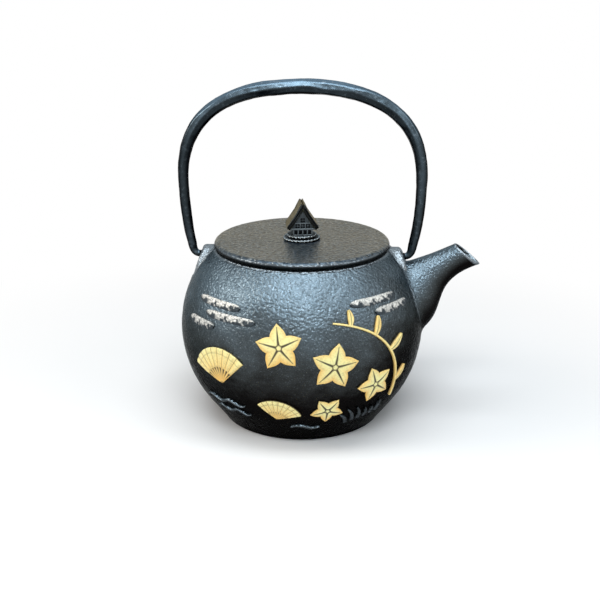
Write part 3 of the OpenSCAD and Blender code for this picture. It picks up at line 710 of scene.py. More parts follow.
def mist_width(s):
    """Width of a band of mist, with round ends."""
    return mist_w * np.sqrt(np.maximum(0.02, 1 - np.abs(2 * s - 1) ** 7))


def mist_bare(s, q, spot):
    """The silver is rubbed on the band's upper edge only. It breaks up into pits downwards and
    towards the ends."""
    ends = unit(1 - np.minimum(s, 1 - s) / 0.16)
    pits = lumps(spot, (0.6, 2.3, 61), (0.45, 1.0, 62))
    return unit(1.8 * (0.9 * ends + 1.1 * (0.15 - q) + pits))


gold = toned_paint("gold_lacquer", pale=(0.88, 0.85, 0.40), deep=(0.84, 0.50, 0.12),
                   cut=(0.06, 0.045, 0.02), roughness=0.42, metallic=0.0, rub=0.2, bump=0.0002)
silver = toned_paint("rubbed_silver", pale=(0.68, 0.67, 0.62), deep=(0.44, 0.45, 0.44),
                     cut=(0.035, 0.045, 0.053), roughness=0.38, metallic=0.75, rub=0.8, bump=0.0008)

twigs = [strip(stem_line, lambda s: stem_w * (1 - 0.4 * s), 0.8 * relief_h, 90, 0.1)]
for root, length, aim, width in leaves:
    twigs.append(strip(leaf_line(stem_line(root), length, aim),
                       lambda s, w=width: spindle(s * 0.85 + 0.1, w),
                       0.85 * relief_h, 40, 0.06, True))
reeds = [strip(leaf_line(reed_place + reed_step * i,
                         reed_l + reed_uneven * np.sin(np.radians(i * 70)),
                         reed_aim - reed_lean * i),
               lambda s: spindle(s * 0.6 + 0.4, reed_w), low_relief_h, 40, 0.15, True)
         for i in range(reed_count)]
ripples = [strip(level_line(start, end, latitude, 1.1, waves),
                 lambda s: spindle(s * 0.92 + 0.04, water_w), low_relief_h, 120, 0.15)
           for start, end, latitude, waves in waters]
bands = [strip(level_line(*m), mist_width, 0.8 * low_relief_h, 170, 0.3, False, 28, mist_bare)
         for m in mists]
for name, meshes, slot, paint, node in (
        ("blossoms", [blossom(*b) for b in blossoms], "gilt", gold, "blossom_relief"),
        ("open_fans", [open_fan(*f) for f in fans], "gilt", gold, "fan_relief"),
        ("stem_and_leaves", twigs, "gilt", gold, "stem_relief"),
        ("reeds", reeds, "cast_iron", body_iron, "reed_relief"),
        ("water_lines", ripples, "cast_iron", body_iron, "water_relief"),
        ("mist_bands", bands, "silvered", silver, "mist_relief")):
    add_piece(name, joined(meshes), "pot", slot, paint, node)

# --- Lugs -----------------------------------------------------------------------------------
# Two arched bosses cast on the shoulder take the bail's pins. Their edges are rounded and
# their feet run into the belly with a fillet.
pin_z, pin_r, pin_hole_r, pin_len = 95.0, 1.9, 1.97, 4.8
lug_face_x = float(body_rad(np.array(pin_z))) + 3.4
lug_lean, lug_w, lug_low_z, lug_fillet, lug_edge, lug_steps = 0.347, 9.2, 81.0, 2.2, 1.7, 120
lug_sink, hole_depth, lug_layers, lug_in = 0.4, 3.6, ((0.22, 4.0, 21), (0.14, 1.8, 22)), 0.2
lug_wear = [0.05, 0.05, 0.05, 0.08, 0.12, 0.16, 0.2, 0.25, 0.35, 0.45, 0.55, 0.6, 0.6, 0.6,
            0.55, 0.5, 0.45, 0.4, 0.35, 0.3, 0.25, 0.1, 0.0]


def arch(inset):
    """Outline of a lug taken in by an inset: a half circle over straight sides, closed below,
    from the middle of the bottom and round to it."""
    w, top, low, spring = lug_w - inset, rim_z - inset, lug_low_z + inset, rim_z - lug_w
    bow = arc((0, spring), top - spring, 0, 180, 40)[1:-1]
    line = np.vstack([[(0, low), (w, low), (w, spring)], bow, [(-w, spring), (-w, low), (0, low)]])
    far = lengths_along(line)
    at = np.arange(lug_steps) / lug_steps * far[-1]
    return points(np.interp(at, far, line[:, 0]), np.interp(at, far, line[:, 1]))


def skin_x(yz, sink):
    """Distance along X to the belly at points (y, z), sunk into it."""
    z = np.minimum(yz[:, 1], rim_z - 0.1)
    return np.sqrt(np.maximum(body_rad(z) ** 2 - yz[:, 0] ** 2, 1.0)) - sink


def lug_row(yz, back):
    """Points on the lug's leaning face at (y, z), set back, but never under the belly."""
    face = lug_face_x + (pin_z - yz[:, 1]) * lug_lean - back
    return points(np.maximum(face, skin_x(yz, lug_sink)), yz[:, 0], yz[:, 1])


def lug_grid():
    """Rows from the fillet's foot on the belly, up the wall, over a rounded edge, across the
    leaning face to the pin hole, and down into it."""
    foot, wall = arch(-lug_fillet), arch(0)
    foot = points(skin_x(foot, fillet_sink), foot[:, 0], np.minimum(foot[:, 1], rim_z - 0.15))
    corner = points(skin_x(wall, 0.0), wall[:, 0], wall[:, 1])
    high = np.maximum(lug_face_x + (pin_z - wall[:, 1]) * lug_lean - lug_edge, corner[:, 0] + 0.05)
    rise = points(np.minimum(corner[:, 0] + lug_fillet, high), wall[:, 0], wall[:, 1])
    rows = list(curve([foot, corner, rise], np.linspace(0, 1, 7)[:, None]))
    for back in np.radians(np.linspace(0, 90, 7)):
        rows.append(lug_row(arch(lug_edge * (1 - np.cos(back))), lug_edge * (1 - np.sin(back))))
    inner = arch(lug_edge)
    start = np.arctan2(inner[:, 0], pin_z - inner[:, 1])
    hole = points(pin_hole_r * np.sin(start), pin_z - pin_hole_r * np.cos(start))
    rows += [lug_row(inner + (hole - inner) * t, 0.0) for t in np.linspace(0.15, 1, 8)]
    rows.append(points(lug_face_x + (pin_z - hole[:, 1]) * lug_lean - hole_depth,
                       hole[:, 0], hole[:, 1]))
    grid = np.array(rows)
    dent = lumps(grid, *lug_layers) - lug_in
    dent[:1], dent[-3:] = 0, 0
    grid[..., 0] += dent
    grid[..., 1] -= np.sign(grid[..., 1]) * np.abs(dent) * 0.4
    grid[..., 2] = np.minimum(grid[..., 2], rim_z)
    return grid, np.array(lug_wear)[:, None] * np.clip((grid[..., 2] - lug_low_z) / 9, 0.15, 1)


# The low colour is painted shade on what faces down and the high one a painted highlight on what
# faces up.
lug_iron = iron_paint("lug_iron", low=(0.006, 0.006, 0.007), high=(0.20, 0.24, 0.27),
                      speck=(0.34, 0.39, 0.43), size=0.0012, roughness=0.30, depth=0.0007)
lug_points, lug_rubbed = lug_grid()
for name, turn, node in (("spout_side_lug", 1, "front_lug"), ("far_side_lug", -1, "rear_lug")):
    lug_mesh = mesh_from_grid(lug_points * np.array([turn, turn, 1.0]), wrap=True, pole_last=True)
    store_values(lug_mesh, "worn", lug_rubbed)
    add_piece(name, lug_mesh, "pot", "cast_iron", lug_iron, node)

# --- Bail -----------------------------------------------------------------------------------
# A forged iron bar, hammered to uneven flats, thick over the grip and thinner down the legs.
# Its ends are turned inwards to round pins that spring into the lugs.
bail_top_z, bail_half_w, bail_wide_z = 190.4, body_r - 2.7, 138.0
leg_out, leg_up, leg_flare, pin_show, pin_chamfer = 5.1, 6.5, 1.6, 0.5, 0.3
bar_top_t, bar_side_t, bar_low_t, bar_flat, leg_fill = 9.3, 5.8, 4.7, 0.96, 1.1
bar_rings, pin_rings, bar_sides, hammer_flats = 300, 40, 64, 8
# How the flats' angle and distance wander along the bar, and the dents of its skin.
flat_turns, flat_depth, flat_dips = (16, 19.0, 31), 0.905, ((0.07, 13.0, 32), (0.02, 6.0, 33))
bar_dents, bar_in = ((0.03, 1.6, 34), (0.07, 3.2, 35)), 0.18
# Where the arch ends and where the leg ends, along half the bar.
arch_end, leg_end = 0.5, 0.85
leg_foot = np.array([lug_face_x + leg_out, pin_z + leg_up])
leg_top = leg_foot + np.array([leg_flare, leg_up * 0.92])


def by_part(s, over, down, into):
    """The value for the arch, the leg or the turned end, by the place along half the bar."""
    return np.where(s < arch_end, over, np.where(s < leg_end, down, into))


def bail_line(s):
    """Middle line of half the bar, from the top at 0 to the pin at 1, as three Bezier curves."""
    over = curve([(0, bail_top_z), (0.79 * bail_half_w, bail_top_z),
                  (bail_half_w, bail_wide_z + (bail_top_z - bail_wide_z) * 0.53),
                  (bail_half_w, bail_wide_z)], unit(s / arch_end))
    down = curve([(bail_half_w, bail_wide_z),
                  (bail_half_w, bail_wide_z + (pin_z - bail_wide_z) * 0.37),
                  leg_top, leg_foot], unit((s - arch_end) / (leg_end - arch_end)))
    into = curve([leg_foot, (leg_foot[0] - leg_flare / 2, pin_z), (lug_face_x + pin_show, pin_z)],
                 unit((s - leg_end) / (1 - leg_end)))
    return by_part(s[:, None], over, down, into)


def bar_thick(s):
    """Thickness of the bar along half its length."""
    top = bar_top_t + (bar_side_t - bar_top_t) * unit(s / arch_end) ** 1.4
    side = bar_side_t + (bar_low_t - bar_side_t) * (s - arch_end) / (leg_end - arch_end)
    low = bar_low_t + (2 * pin_r - bar_low_t) * (s - leg_end) / (1 - leg_end)
    return by_part(s, top, side, low)


def hammered_bar():
    """The bar's section is the inside of eight planes round the middle line. Each plane's
    distance and angle wander along the bar, so the flats and their edges come out uneven. The
    legs are a little fuller on their inner side. The painted shade, which comes second, darkens
    the legs' narrow sides."""
    half = np.concatenate([np.linspace(0, leg_end, bar_rings)[:-1],
                           np.linspace(leg_end, 1, pin_rings)])
    side = np.concatenate([-1 + 0 * half[:0:-1], 1 + 0 * half])
    s = np.concatenate([half[:0:-1], half])
    middle = bail_line(s) * points(side, 1.0)
    d = normalised(np.gradient(middle, axis=0))
    n = points(-d[:, 1], d[:, 0])
    far = lengths_along(middle)
    fuller = leg_fill * unit(s / arch_end) ** 1.5 * unit((1 - s) / 0.13)
    h = (bar_thick(s) + fuller) / 2
    middle = middle - n * (0.42 * fuller)[:, None]
    smooth_end = unit((1 - s) / 0.1)[:, None]
    a = full_turn(bar_sides)
    radius = np.full((len(s), bar_sides), 1.0)
    for k in range(hammer_flats):
        along = points(far, 40 * k, 0.0)
        turn = np.radians(360 / hammer_flats * (k + 0.5) + lumps(along, flat_turns))
        depth = flat_depth + lumps(along, *flat_dips)
        across = np.cos(a - turn[:, None])
        flat = np.where(across > 0.2, depth[:, None] / np.maximum(across, 0.2), 9)
        radius = np.minimum(radius, flat)
    radius = 1 + (radius - 1) * smooth_end
    wide = h[:, None] * np.cos(a) * radius
    push = points(n[:, :1] * wide, h[:, None] * bar_flat * np.sin(a) * radius, n[:, 1:] * wide)
    grid = points(middle[:, :1], 0.0, middle[:, 1:]) + push
    dent = lumps(grid, *bar_dents) - bar_in
    # Painted shade on the legs' narrow sides.
    painted_shade = 0.5 * np.abs(np.cos(a)) ** 2.5 * n[:, :1] ** 4
    return grid + normalised(push) * (dent * smooth_end)[..., None], painted_shade


def with_pins(grid):
    """Adds the round pins to both ends of the bar, as rings that close at a chamfered end."""
    a = full_turn(bar_sides)
    end_x = lug_face_x - pin_len
    right = np.array([points(x, r * np.sin(a), pin_z + r * np.cos(a)) for x, r in (
        (lug_face_x + pin_show - 0.2, pin_r), (end_x + pin_chamfer, pin_r),
        (end_x, pin_r - pin_chamfer))])
    return np.vstack([right[::-1] * np.array([-1, 1, 1]), grid, right])


# The low colour is painted shade on what faces down and the high one a painted highlight on the top
# of the grip.
bail_iron = iron_paint("bail_iron", low=(0.002, 0.003, 0.0045), high=(0.112, 0.18, 0.248),
                       speck=(0.25, 0.31, 0.36), size=0.0030, roughness=0.20, depth=0.00008,
                       turn=(-0.70, 1.4))
bar_grid, bail_painted_shade = hammered_bar()
bail_mesh = mesh_from_grid(with_pins(bar_grid), wrap=True, pole_first=True, pole_last=True,
                           flip=True)
store_values(bail_mesh, "painted_shade", np.pad(bail_painted_shade, ((3, 3), (0, 0))))
add_piece("hammered_bail", bail_mesh, "handle", "bail_iron", bail_iron, "bail")

# --- Lid ------------------------------------------------------------------------------------
# A thick flat iron disc with a rounded edge, lying on the infuser's flange. A ring under it
# keeps it in the middle. The top is fine-cast and has a grey-olive coat, whose bluish base paints
# in cool light and whose warm sheen at low angles is a painted reflection. The edge has a painted
# glint.
lid_r = float(body_rad(np.array(rim_z)))
lid_z, lid_t, lid_edge_top, lid_edge_low = 101.0, 3.65, 2.6, 0.95
lid_top_z, rivet_hole_r, lid_sides = lid_z + lid_t, 2.1, 360
lid_layers, lid_in = ((0.05, 3.0, 41), (0.04, 1.3, 42)), 0.09
# coat_glint is a warm specular tint on the coat, a painted warm reflection.
coat_from, coat_to, coat_glint, coat_metallic = 0.0013, 0.0008, (0.93, 0.82, 0.60), 0.75
# The rim below the coat is black, with a painted glint where its edge turns up.
rim_black, rim_dull, rim_glint = (0.006, 0.008, 0.009), (0.01, 0.01, 0.01), (0.1, 0.11, 0.12)


def lid_profile():
    """From the rivet hole under the plate, out round the edge, and back over the top."""
    under = points(np.linspace(rivet_hole_r, lid_r - lid_edge_low - 0.4, 24), lid_z)
    low = arc((lid_r - lid_edge_low, lid_z + lid_edge_low), lid_edge_low, -90, 0, 7)
    high = arc((lid_r - lid_edge_top, lid_top_z - lid_edge_top), lid_edge_top, 0, 90, 12)
    top = points(np.linspace(lid_r - lid_edge_top - 0.4, rivet_hole_r, 100), lid_top_z)
    return np.vstack([under, low, high, top, under[:1]])


def lid_dents(p):
    """Shallow unevenness of the lid's top and edge, always inwards."""
    return np.where(p[..., 2] > lid_z + 0.3, lumps(p, *lid_layers) - lid_in, 0.0)


def lid_paint(name, edge, dark, light, speck, roughness, size, bump, top_z):
    """Lacquer with fine pale and dark specks over the top, warm where it is seen at a low angle,
    as a painted warm reflection from the specular tint. Below top_z it is a glossier black, with a
    painted glint where the edge turns up."""
    paint, tree, shader = new_paint(name, light, roughness, coat_metallic)
    height, speckle, patch = grain_at(tree, size)
    place = add_node(tree, "ShaderNodeTexCoord").outputs["Object"]
    at_z = add_node(tree, "ShaderNodeSeparateXYZ", {0: place}).outputs["Z"]
    base = mix_colours(tree, scaled(tree, height, 0, 1, 0.5, 0.9), dark, light)
    coat = mix_colours(tree, scaled(tree, speckle, 0, 0.8), base, speck)
    painted_glint_mask = scaled(tree, named_value(tree, "facing"), 0, 1, 0.1, 0.5)
    rim = mix_colours(tree, painted_glint_mask, rim_black, edge)
    rim_tint = mix_colours(tree, painted_glint_mask, rim_dull, rim_glint)
    over = scaled(tree, at_z, 0, 1, top_z - coat_from, top_z - coat_to)
    gloss = scaled(tree, patch, roughness - 0.07, roughness + 0.1)
    plug(tree, shader, {
        "Base Color": mix_colours(tree, over, rim, coat),
        "Specular Tint": mix_colours(tree, over, rim_tint, coat_glint),
        "Roughness": combined(tree, "MULTIPLY", gloss, scaled(tree, over, 0.5, 1)),
        "Normal": bumped(tree, height, bump, 0.5)})
    return paint


# The bluish dark and light colours paint cool light into the coat; edge is the colour of the
# painted glint on the rim.
lid_iron = lid_paint("lid_iron", edge=(0.115, 0.135, 0.15), dark=(0.012, 0.024, 0.038),
                     light=(0.070, 0.102, 0.135), speck=(0.34, 0.35, 0.34), roughness=0.33,
                     size=0.0018, bump=0.0009, top_z=lid_top_z * MM)
lid_mesh = mesh_from_grid(turned(lid_profile(), lid_sides, lid_dents), wrap=True)
add_piece("lid_disc", lid_mesh, "lid", "lid_iron", lid_iron, "lid_plate")

# --- Knob -----------------------------------------------------------------------------------
# A small steep-roofed farmhouse on a round seat with two roped rings: one casting, held by a
# steel rivet through the lid. The thatch has the lid's coat, and the gables are darker.
knob_turn, seat_r, seat_h, seat_sides = np.radians(8.0), 10.6, 3.2, 200
rope_r, rope_sides, rope_steps = 0.75, 18, 330
house_w, house_l, house_wall_h = 11.4, 11.6, 4.2
roof_w, roof_l, roof_h, thatch_t, board_t, board_w = 9.1, 14.2, 14.5, 2.3, 1.0, 1.15
seat_top_z = lid_top_z + seat_h
eaves_z = seat_top_z + house_wall_h
ridge_z, gable_base_z = eaves_z + roof_h, eaves_z - 0.6
roof_slope = np.arctan2(roof_h, roof_w)
thatch_across = thatch_t / np.sin(roof_slope)
gable_top_z = ridge_z - thatch_across * roof_h / roof_w
# How far panes, glazing bars, beams and sills stand out from the gable's core, and how far
# they reach into it.
pane_out, glazing_out, beam_out, sill_out, reach_in = 0.1, 0.25, 0.5, 0.85, 0.2
core_l = house_l / 2 - beam_out
low_z, low_h = (seat_top_z + gable_base_z) / 2, gable_base_z - seat_top_z
row_z, attic_z, pane, glazing = gable_base_z + 1.9, gable_base_z + 5.2, 2.4, 0.17
# Places across the gable of the upper windows, the posts between them, the lower windows and
# the lower posts.
window_x, mullion_x = (-2.9, 0, 2.9), (-1.45, 1.45)
opening_x, post_x = (-3.9, -1.3, 1.3, 3.9), (-5.1, -2.6, 0.0, 2.6, 5.1)
# How far straw is drawn out down the slope, and the step and the length of its layers.
straw_drawn, layer_step, layer_l, straw_in = 0.14, 0.12, 3.7, 0.2


def rope_ring(middle_r, middle_z, strands):
    """A ring whose round section swells and shrinks in slanting waves, like laid rope."""
    a, f = full_turn(rope_steps)[:, None], full_turn(rope_sides)
    lay = rope_r * (1 - 0.5 * ((1 + np.cos(strands * a + 2 * f)) / 2) ** 2)
    grid = round_z(middle_r + lay * np.cos(f), a, middle_z + lay * np.sin(f))
    return mesh_from_grid(np.vstack([grid, grid[:1]]), wrap=True, flip=True)


def seat_profile():
    """The plinth between the ropes: a low step, a hollow neck and the top the house stands on."""
    low, top = lid_top_z + 0.02, seat_top_z
    steps = [(-1.2, low), (-0.6, low), (-0.6, low + 1.2), (-1.6, low + 1.35), (-2.9, low + 1.35),
             (-3.1, low + 1.8), (-3.1, top - 0.12), (-3.4, top)]
    return np.array([(0.4, low)] + [(seat_r + dr, z) for dr, z in steps] + [(0.4, top)])


def knob_frame(p):
    """Points turned about Z from the house's own axes to where the knob stands."""
    cos, sin = np.cos(knob_turn), np.sin(knob_turn)
    return points(p[..., 0] * cos - p[..., 1] * sin, p[..., 0] * sin + p[..., 1] * cos, p[..., 2])


def prism(outline, y_low, y_high, edge=0.1):
    """An outline of (x, z) points pushed along Y in the house's axes, with softened edges."""
    shape = bmesh.new()
    outline = np.asarray(outline)
    ends = [[shape.verts.new(p) for p in
             (knob_frame(points(outline[:, 0], y, outline[:, 1])) * MM).tolist()]
            for y in (y_low, y_high)]
    for k, near in enumerate(ends[0]):
        m = (k + 1) % len(outline)
        shape.faces.new([near, ends[0][m], ends[1][m], ends[1][k]])
    shape.faces.new(ends[0][::-1])
    shape.faces.new(ends[1])
    bmesh.ops.recalc_face_normals(shape, faces=shape.faces)
    bmesh.ops.bevel(shape, geom=list(shape.edges), offset=edge * MM, segments=2, affect="EDGES",
                    profile=0.5)
    return finished(shape)


def bar(x, z, w, h, y_low, y_high):
    """A straight bar of width w and height h about (x, z)."""
    corners = np.array([(-w, -h), (w, -h), (w, h), (-w, h)]) / 2
    return prism(corners + np.array([x, z]), y_low, y_high, 0.08)


def gable_bars(rows):
    """Bars on both gables, from rows of x, z, width, height and how far each stands out."""
    return [bar(*row, *sorted((end * (core_l - reach_in), end * (core_l + out))))
            for end in (-1, 1) for *row, out in rows]


def half_gable(z):
    """Half width of the gable under the thatch at a height."""
    return (ridge_z - z) * roof_w / roof_h - thatch_across


# These paints too are painted light and shade by how far each surface faces up: shade on what faces
# down, a highlight on what faces up.
knob_dark = {"low": (0.006, 0.007, 0.008), "size": 0.0006}
knob_iron = iron_paint("knob_iron", **knob_dark, high=(0.045, 0.055, 0.062),
                       speck=(0.10, 0.12, 0.13), roughness=0.28, depth=0.0002)
rope_iron = iron_paint("rope_iron", **knob_dark, high=(0.24, 0.29, 0.32), speck=(0.5, 0.56, 0.6),
                       roughness=0.13, depth=0.0001, turn=(-0.1, 0.8))
timber = {"size": 0.0005, "depth": 0.0001}
wall_iron = iron_paint("wall_iron", low=(0.035, 0.045, 0.052), high=(0.075, 0.092, 0.105),
                       speck=(0.2, 0.24, 0.26), roughness=0.4, metallic=0.3,
                       turn=(-1.0, 0.8), **timber)
# Near-black paint for boxes in the window openings: painted shade in place of the shade inside
# them.
opening_shade_iron = iron_paint("opening_shade_iron", low=(0.004, 0.005, 0.006), high=(0.008, 0.010, 0.012),
                       speck=(0.03, 0.035, 0.04), roughness=0.35, **timber)
beam_iron = iron_paint("beam_iron", low=(0.09, 0.11, 0.125), high=(0.15, 0.18, 0.20),
                       speck=(0.3, 0.34, 0.37), roughness=0.36, metallic=0.3, turn=(-1.0, 0.8),
                       **timber)

plinth = mesh_from_grid(turned(seat_profile(), seat_sides), wrap=True, pole_first=True,
                        pole_last=True)
add_piece("knob_plinth", plinth, "lid", "knob_iron", knob_iron, "knob_seat")
ropes = joined([rope_ring(seat_r - rope_r, lid_top_z + rope_r, 28),
                rope_ring(seat_r - 2.6, seat_top_z - rope_r, 22)])
add_piece("roped_rings", ropes, "lid", "knob_iron", rope_iron)

gable = [(-half_gable(gable_base_z), gable_base_z), (half_gable(gable_base_z), gable_base_z),
         (0, gable_top_z)]
walls = [bar(0, low_z, house_w - 0.8, low_h, -core_l, core_l), prism(gable, -core_l, core_l)]
beam_rows = [(0, gable_base_z + 0.1, 2 * half_gable(gable_base_z) + 0.6, 0.8, sill_out),
             (0, row_z + 1.5, 2 * half_gable(row_z + 1.5) - 0.2, 0.5, beam_out),
             (0, seat_top_z + 0.25, house_w - 0.6, 0.5, beam_out)]
beam_rows += [(x, row_z, 0.4, pane + 0.5, beam_out) for x in mullion_x]
beam_rows += [(x, low_z, 0.6, low_h, beam_out) for x in post_x]
# The lower openings and the windows get near-black boxes: painted shade in place of the shade
# inside them.
shaded_opening_rows = [(x, low_z + 0.1, 2.0, low_h - 1.2, pane_out) for x in opening_x]
for x, z in (*[(x, row_z) for x in window_x], (0, attic_z)):
    shaded_opening_rows.append((x, z, pane, pane, pane_out))
    beam_rows += [(x, z, pane, glazing, glazing_out), (x, z, glazing, pane, glazing_out)]
posts = [bar(side * (house_w / 2 - 0.45), low_z, 0.7, low_h, y - 0.3, y + 0.3)
         for y in np.linspace(-core_l + 0.5, core_l - 0.5, 5) for side in (-1, 1)]
add_piece("farmhouse", joined(walls), "lid", "knob_iron", wall_iron, "knob_house")
add_piece("farmhouse_opening_shade", joined(gable_bars(shaded_opening_rows)), "lid", "knob_iron", opening_shade_iron)
add_piece("farmhouse_beams", joined(gable_bars(beam_rows) + posts), "lid", "knob_iron", beam_iron)

down_slope = np.array([np.cos(roof_slope), -np.sin(roof_slope)])
inward = np.array([-np.sin(roof_slope), -np.cos(roof_slope)])
straw_line = np.array([(1.1, ridge_z - 0.25), (roof_w * 0.42, eaves_z + roof_h * 0.6),
                       (roof_w - 1.7, eaves_z + 3.4), (roof_w - 0.35, eaves_z + 1.7),
                       (roof_w, eaves_z + 0.4)])
eave_point = np.array([roof_w, eaves_z]) + inward * thatch_t


def roof_outline():
    """Section of the thatch: from the notch at the ridge down the straw, which is thickest above
    the eave, round the cut eave and back up inside, then the same mirrored."""
    crest = [(0, ridge_z - 1.6), (0.35, ridge_z - 1.0), (0.7, ridge_z - 0.15),
             (0.95, ridge_z - 0.05)]
    w = np.linspace(0, 1, 44)
    run = lengths_along(straw_line)
    outer = points(*[np.interp(w, run / run[-1], straw_line[:, k]) for k in (0, 1)])
    cut = curve([straw_line[-1], eave_point], w[::4])
    inside = curve([eave_point, (0, gable_top_z)], w[::2])
    right = np.vstack([crest, outer, cut[1:], inside[1:]])
    return np.vstack([right, (right * np.array([-1, 1]))[-2:0:-1]])


def thatch_grid():
    """The section pushed along the ridge. Straw runs down the slope, so its ridges are noise
    drawn out that way; the layers step slightly, and the cut ends are rough."""
    line = roof_outline()
    y = np.linspace(-roof_l / 2 + board_t, roof_l / 2 - board_t, 90)[:, None]
    grid = points(line[:, 0], y, line[:, 1])
    down = (ridge_z - grid[..., 2]) / np.sin(roof_slope)
    side = np.sign(grid[..., 0])
    straw = points(side * down * straw_drawn, grid[..., 1], 0.0)
    layer = layer_step * (((down + lumps(straw, (0.3, 1.2, 51))) / layer_l) % 1)
    depth = lumps(straw, (0.1, 0.55, 52), (0.08, 1.4, 53)) - straw_in + layer
    outer = grid[..., 2] > eaves_z - (np.abs(grid[..., 0]) - roof_w) * roof_h / roof_w - 0.7
    away = points(side * np.sin(roof_slope), 0.0, np.cos(roof_slope))
    return knob_frame(grid + away * (depth * outer)[..., None])


def closed_section(grid):
    """A mesh of a grid whose columns run round a section, with a flat face at each end."""
    shape = taken_in(mesh_from_grid(grid, wrap=True))
    bmesh.ops.holes_fill(shape, edges=[e for e in shape.edges if e.is_boundary], sides=0)
    bmesh.ops.triangulate(shape, faces=[f for f in shape.faces if len(f.verts) > 4])
    bmesh.ops.recalc_face_normals(shape, faces=shape.faces)
    return finished(shape)


def barge_board(start, end, ridge):
    """Outline of half a board between two depths under the straw. At the top it runs up to a
    ridge height, or along the slope where that is None."""
    out = straw_line + inward * start
    back = (straw_line + inward * end)[::-1]
    rise = roof_h / roof_w
    top = (0, out[0, 1] + out[0, 0] * rise if ridge is None else ridge)
    top_back = (0, back[-1, 1] + back[-1, 0] * rise)
    out[-1] -= down_slope * 0.1
    back[0] -= down_slope * 0.1
    return np.array([p for p in (top, *out, *back, top_back) if p[0] >= 0])


thatch_iron = lid_paint("thatch_iron", edge=(0.02, 0.02, 0.02), dark=(0.026, 0.025, 0.016),
                        light=(0.075, 0.071, 0.046), speck=(0.15, 0.145, 0.11), roughness=0.42,
                        size=0.0006, bump=0.0002, top_z=0.0)
add_piece("thatched_roof", closed_section(thatch_grid()), "lid", "lid_iron", thatch_iron,
          "knob_roof")
boards = []
for depth, ridge, back in ((0.12, ridge_z - 1.65 - 0.12 / np.cos(roof_slope), 0.0),
                           (0.17 + board_w, None, 0.35)):
    half_board = barge_board(depth, min(depth + board_w, thatch_t) - 0.05, ridge)
    for end in (-1, 1):
        ends = sorted((end * (roof_l / 2 - board_t - 0.3), end * (roof_l / 2 - back)))
        boards += [prism(half_board * np.array([side, 1]), *ends, 0.09) for side in (-1, 1)]
add_piece("barge_boards", joined(boards), "lid", "knob_iron", knob_iron)


def repaint(paint, *nodes):
    """Gives CAD nodes a finish in their own material slots."""
    for node in nodes:
        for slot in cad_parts[node].material_slots:
            slot.material = paint


repaint(knob_iron, "lid_ring")

# --- Infuser and lining -----------------------------------------------------------------------
# A stainless basket: a flange that lies on the rim, a plain collar, a woven wire wall and floor,
# and a hem pressed round the bottom. The pot is lined with glossy enamel.
infuser_r, sheet_t, dish_h, dish_slope = 42.2, 0.6, 1.6, 11
infuser_low_z, hem_top_z, collar_low_z = 47.2, 50.2, 92.2
wire_r, wire_pitch, wire_weave, wire_sides, floor_wires = 0.18, 2.3, 0.6, 4, 17
steel_grey, tea_stain = (0.62, 0.63, 0.64), (0.42, 0.40, 0.36)
enamel_black, enamel_grey = (0.010, 0.010, 0.011), (0.022, 0.023, 0.026)


def tubes(lines, closed):
    """Thin tubes round many lines at once: a square of points across each line at every step."""
    d = np.gradient(lines, axis=1)
    if closed:
        d = np.roll(lines, -1, axis=1) - np.roll(lines, 1, axis=1)
    d = normalised(d)
    up = np.where(np.abs(d[..., 2:]) > 0.8, np.array([1.0, 0, 0]), np.array([0, 0, 1.0]))
    u = normalised(np.cross(up, d))
    v = np.cross(d, u)
    a = full_turn(wire_sides)[:, None]
    return lines[:, :, None] + wire_r * (u[:, :, None] * np.cos(a) + v[:, :, None] * np.sin(a))


def wire_cloth(*groups):
    """One mesh of all the wires. Each group is lines and whether they close on themselves."""
    corners, faces, base = [], [], 0
    for lines, closed in groups:
        grid = tubes(lines, closed)
        index = base + np.arange(grid[..., 0].size).reshape(grid.shape[:3])
        here, ahead = index[:, :-1], index[:, 1:]
        if closed:
            here, ahead = index, np.roll(index, -1, axis=1)
        quads = points(here, np.roll(here, -1, axis=2), np.roll(ahead, -1, axis=2), ahead)
        faces += quads.reshape(-1, 4).tolist()
        if not closed:
            faces += index[:, 0, ::-1].tolist() + index[:, -1].tolist()
        corners.append(grid.reshape(-1, 3))
        base += index.size
    return new_mesh(np.vstack(corners), faces)


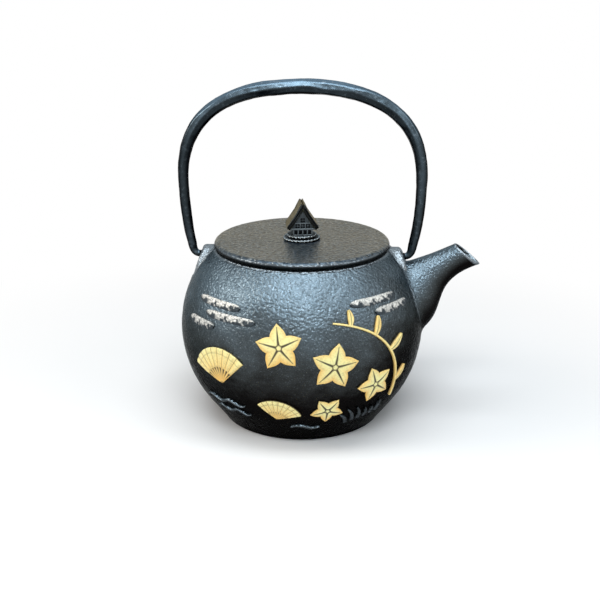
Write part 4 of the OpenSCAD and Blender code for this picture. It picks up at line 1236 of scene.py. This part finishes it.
def wall_cloth():
    """Upright wires weave in and out past level rings, a wire's radius each way."""
    mid_r, weave = infuser_r - sheet_t / 2, wire_weave * wire_r
    count = 2 * int(np.pi * mid_r / wire_pitch)
    levels = int((collar_low_z - hem_top_z) / wire_pitch)
    level_h = (collar_low_z - hem_top_z) / levels
    rank = np.arange(count)[:, None]
    z = np.linspace(hem_top_z - 0.4, collar_low_z + 0.4, 3 * levels)
    r = mid_r + weave * np.cos(np.pi * ((z - hem_top_z) / level_h - 0.5 + rank))
    uprights = round_z(r, rank * 2 * np.pi / count, z)
    turn, row = full_turn(3 * count), np.arange(levels)[:, None]
    r = mid_r - weave * np.cos(count * turn / 2 + np.pi * row)
    levels_run = round_z(r, turn, hem_top_z + (row + 0.5) * level_h)
    return wire_cloth((uprights, False), (levels_run, True))


def floor_cloth():
    """Two crossed sets of wires over the dished floor, as far as the hem."""
    reach = infuser_r - 0.9
    at = np.arange(-floor_wires, floor_wires + 1)[:, None] * wire_pitch
    run = np.linspace(-1, 1, 80) * np.sqrt(reach ** 2 - at ** 2)
    dish = infuser_low_z + sheet_t / 2 + dish_h * unit((reach - np.hypot(run, at)) / dish_slope)
    wave = 0.5 * wire_r * np.cos(np.pi * (run + at) / wire_pitch)
    return wire_cloth((points(run, at, dish + wave), False), (points(at, run, dish - wave), False))


steel, steel_tree, steel_shader = new_paint("brushed_steel", steel_grey, 0.3, 1.0)
steel_height, _, steel_patch = grain_at(steel_tree, 0.0008)
steel_stain = scaled(steel_tree, steel_patch, 0, 1, 0.45, 0.75)
plug(steel_tree, steel_shader, {
    "Base Color": mix_colours(steel_tree, steel_stain, steel_grey, tea_stain),
    "Roughness": scaled(steel_tree, steel_height, 0.22, 0.4, 0.4, 1.0)})
add_piece("woven_wall", wall_cloth(), "infuser", "steel", steel, "infuser_wall")
add_piece("woven_floor", floor_cloth(), "infuser", "steel", steel, "infuser_floor")
repaint(steel, "infuser_collar", "infuser_hem", "knob_rivet", "knob_washer")

enamel, enamel_tree, enamel_shader = new_paint("black_enamel", enamel_black, 0.12)
enamel_height, _, enamel_patch = grain_at(enamel_tree, 0.004)
enamel_tone = scaled(enamel_tree, enamel_patch, 0, 1, 0.35, 0.65)
plug(enamel_tree, enamel_shader, {
    "Base Color": mix_colours(enamel_tree, enamel_tone, enamel_black, enamel_grey),
    "Normal": bumped(enamel_tree, enamel_height, 0.0002, 0.3)})
repaint(enamel, "enamel_lining")
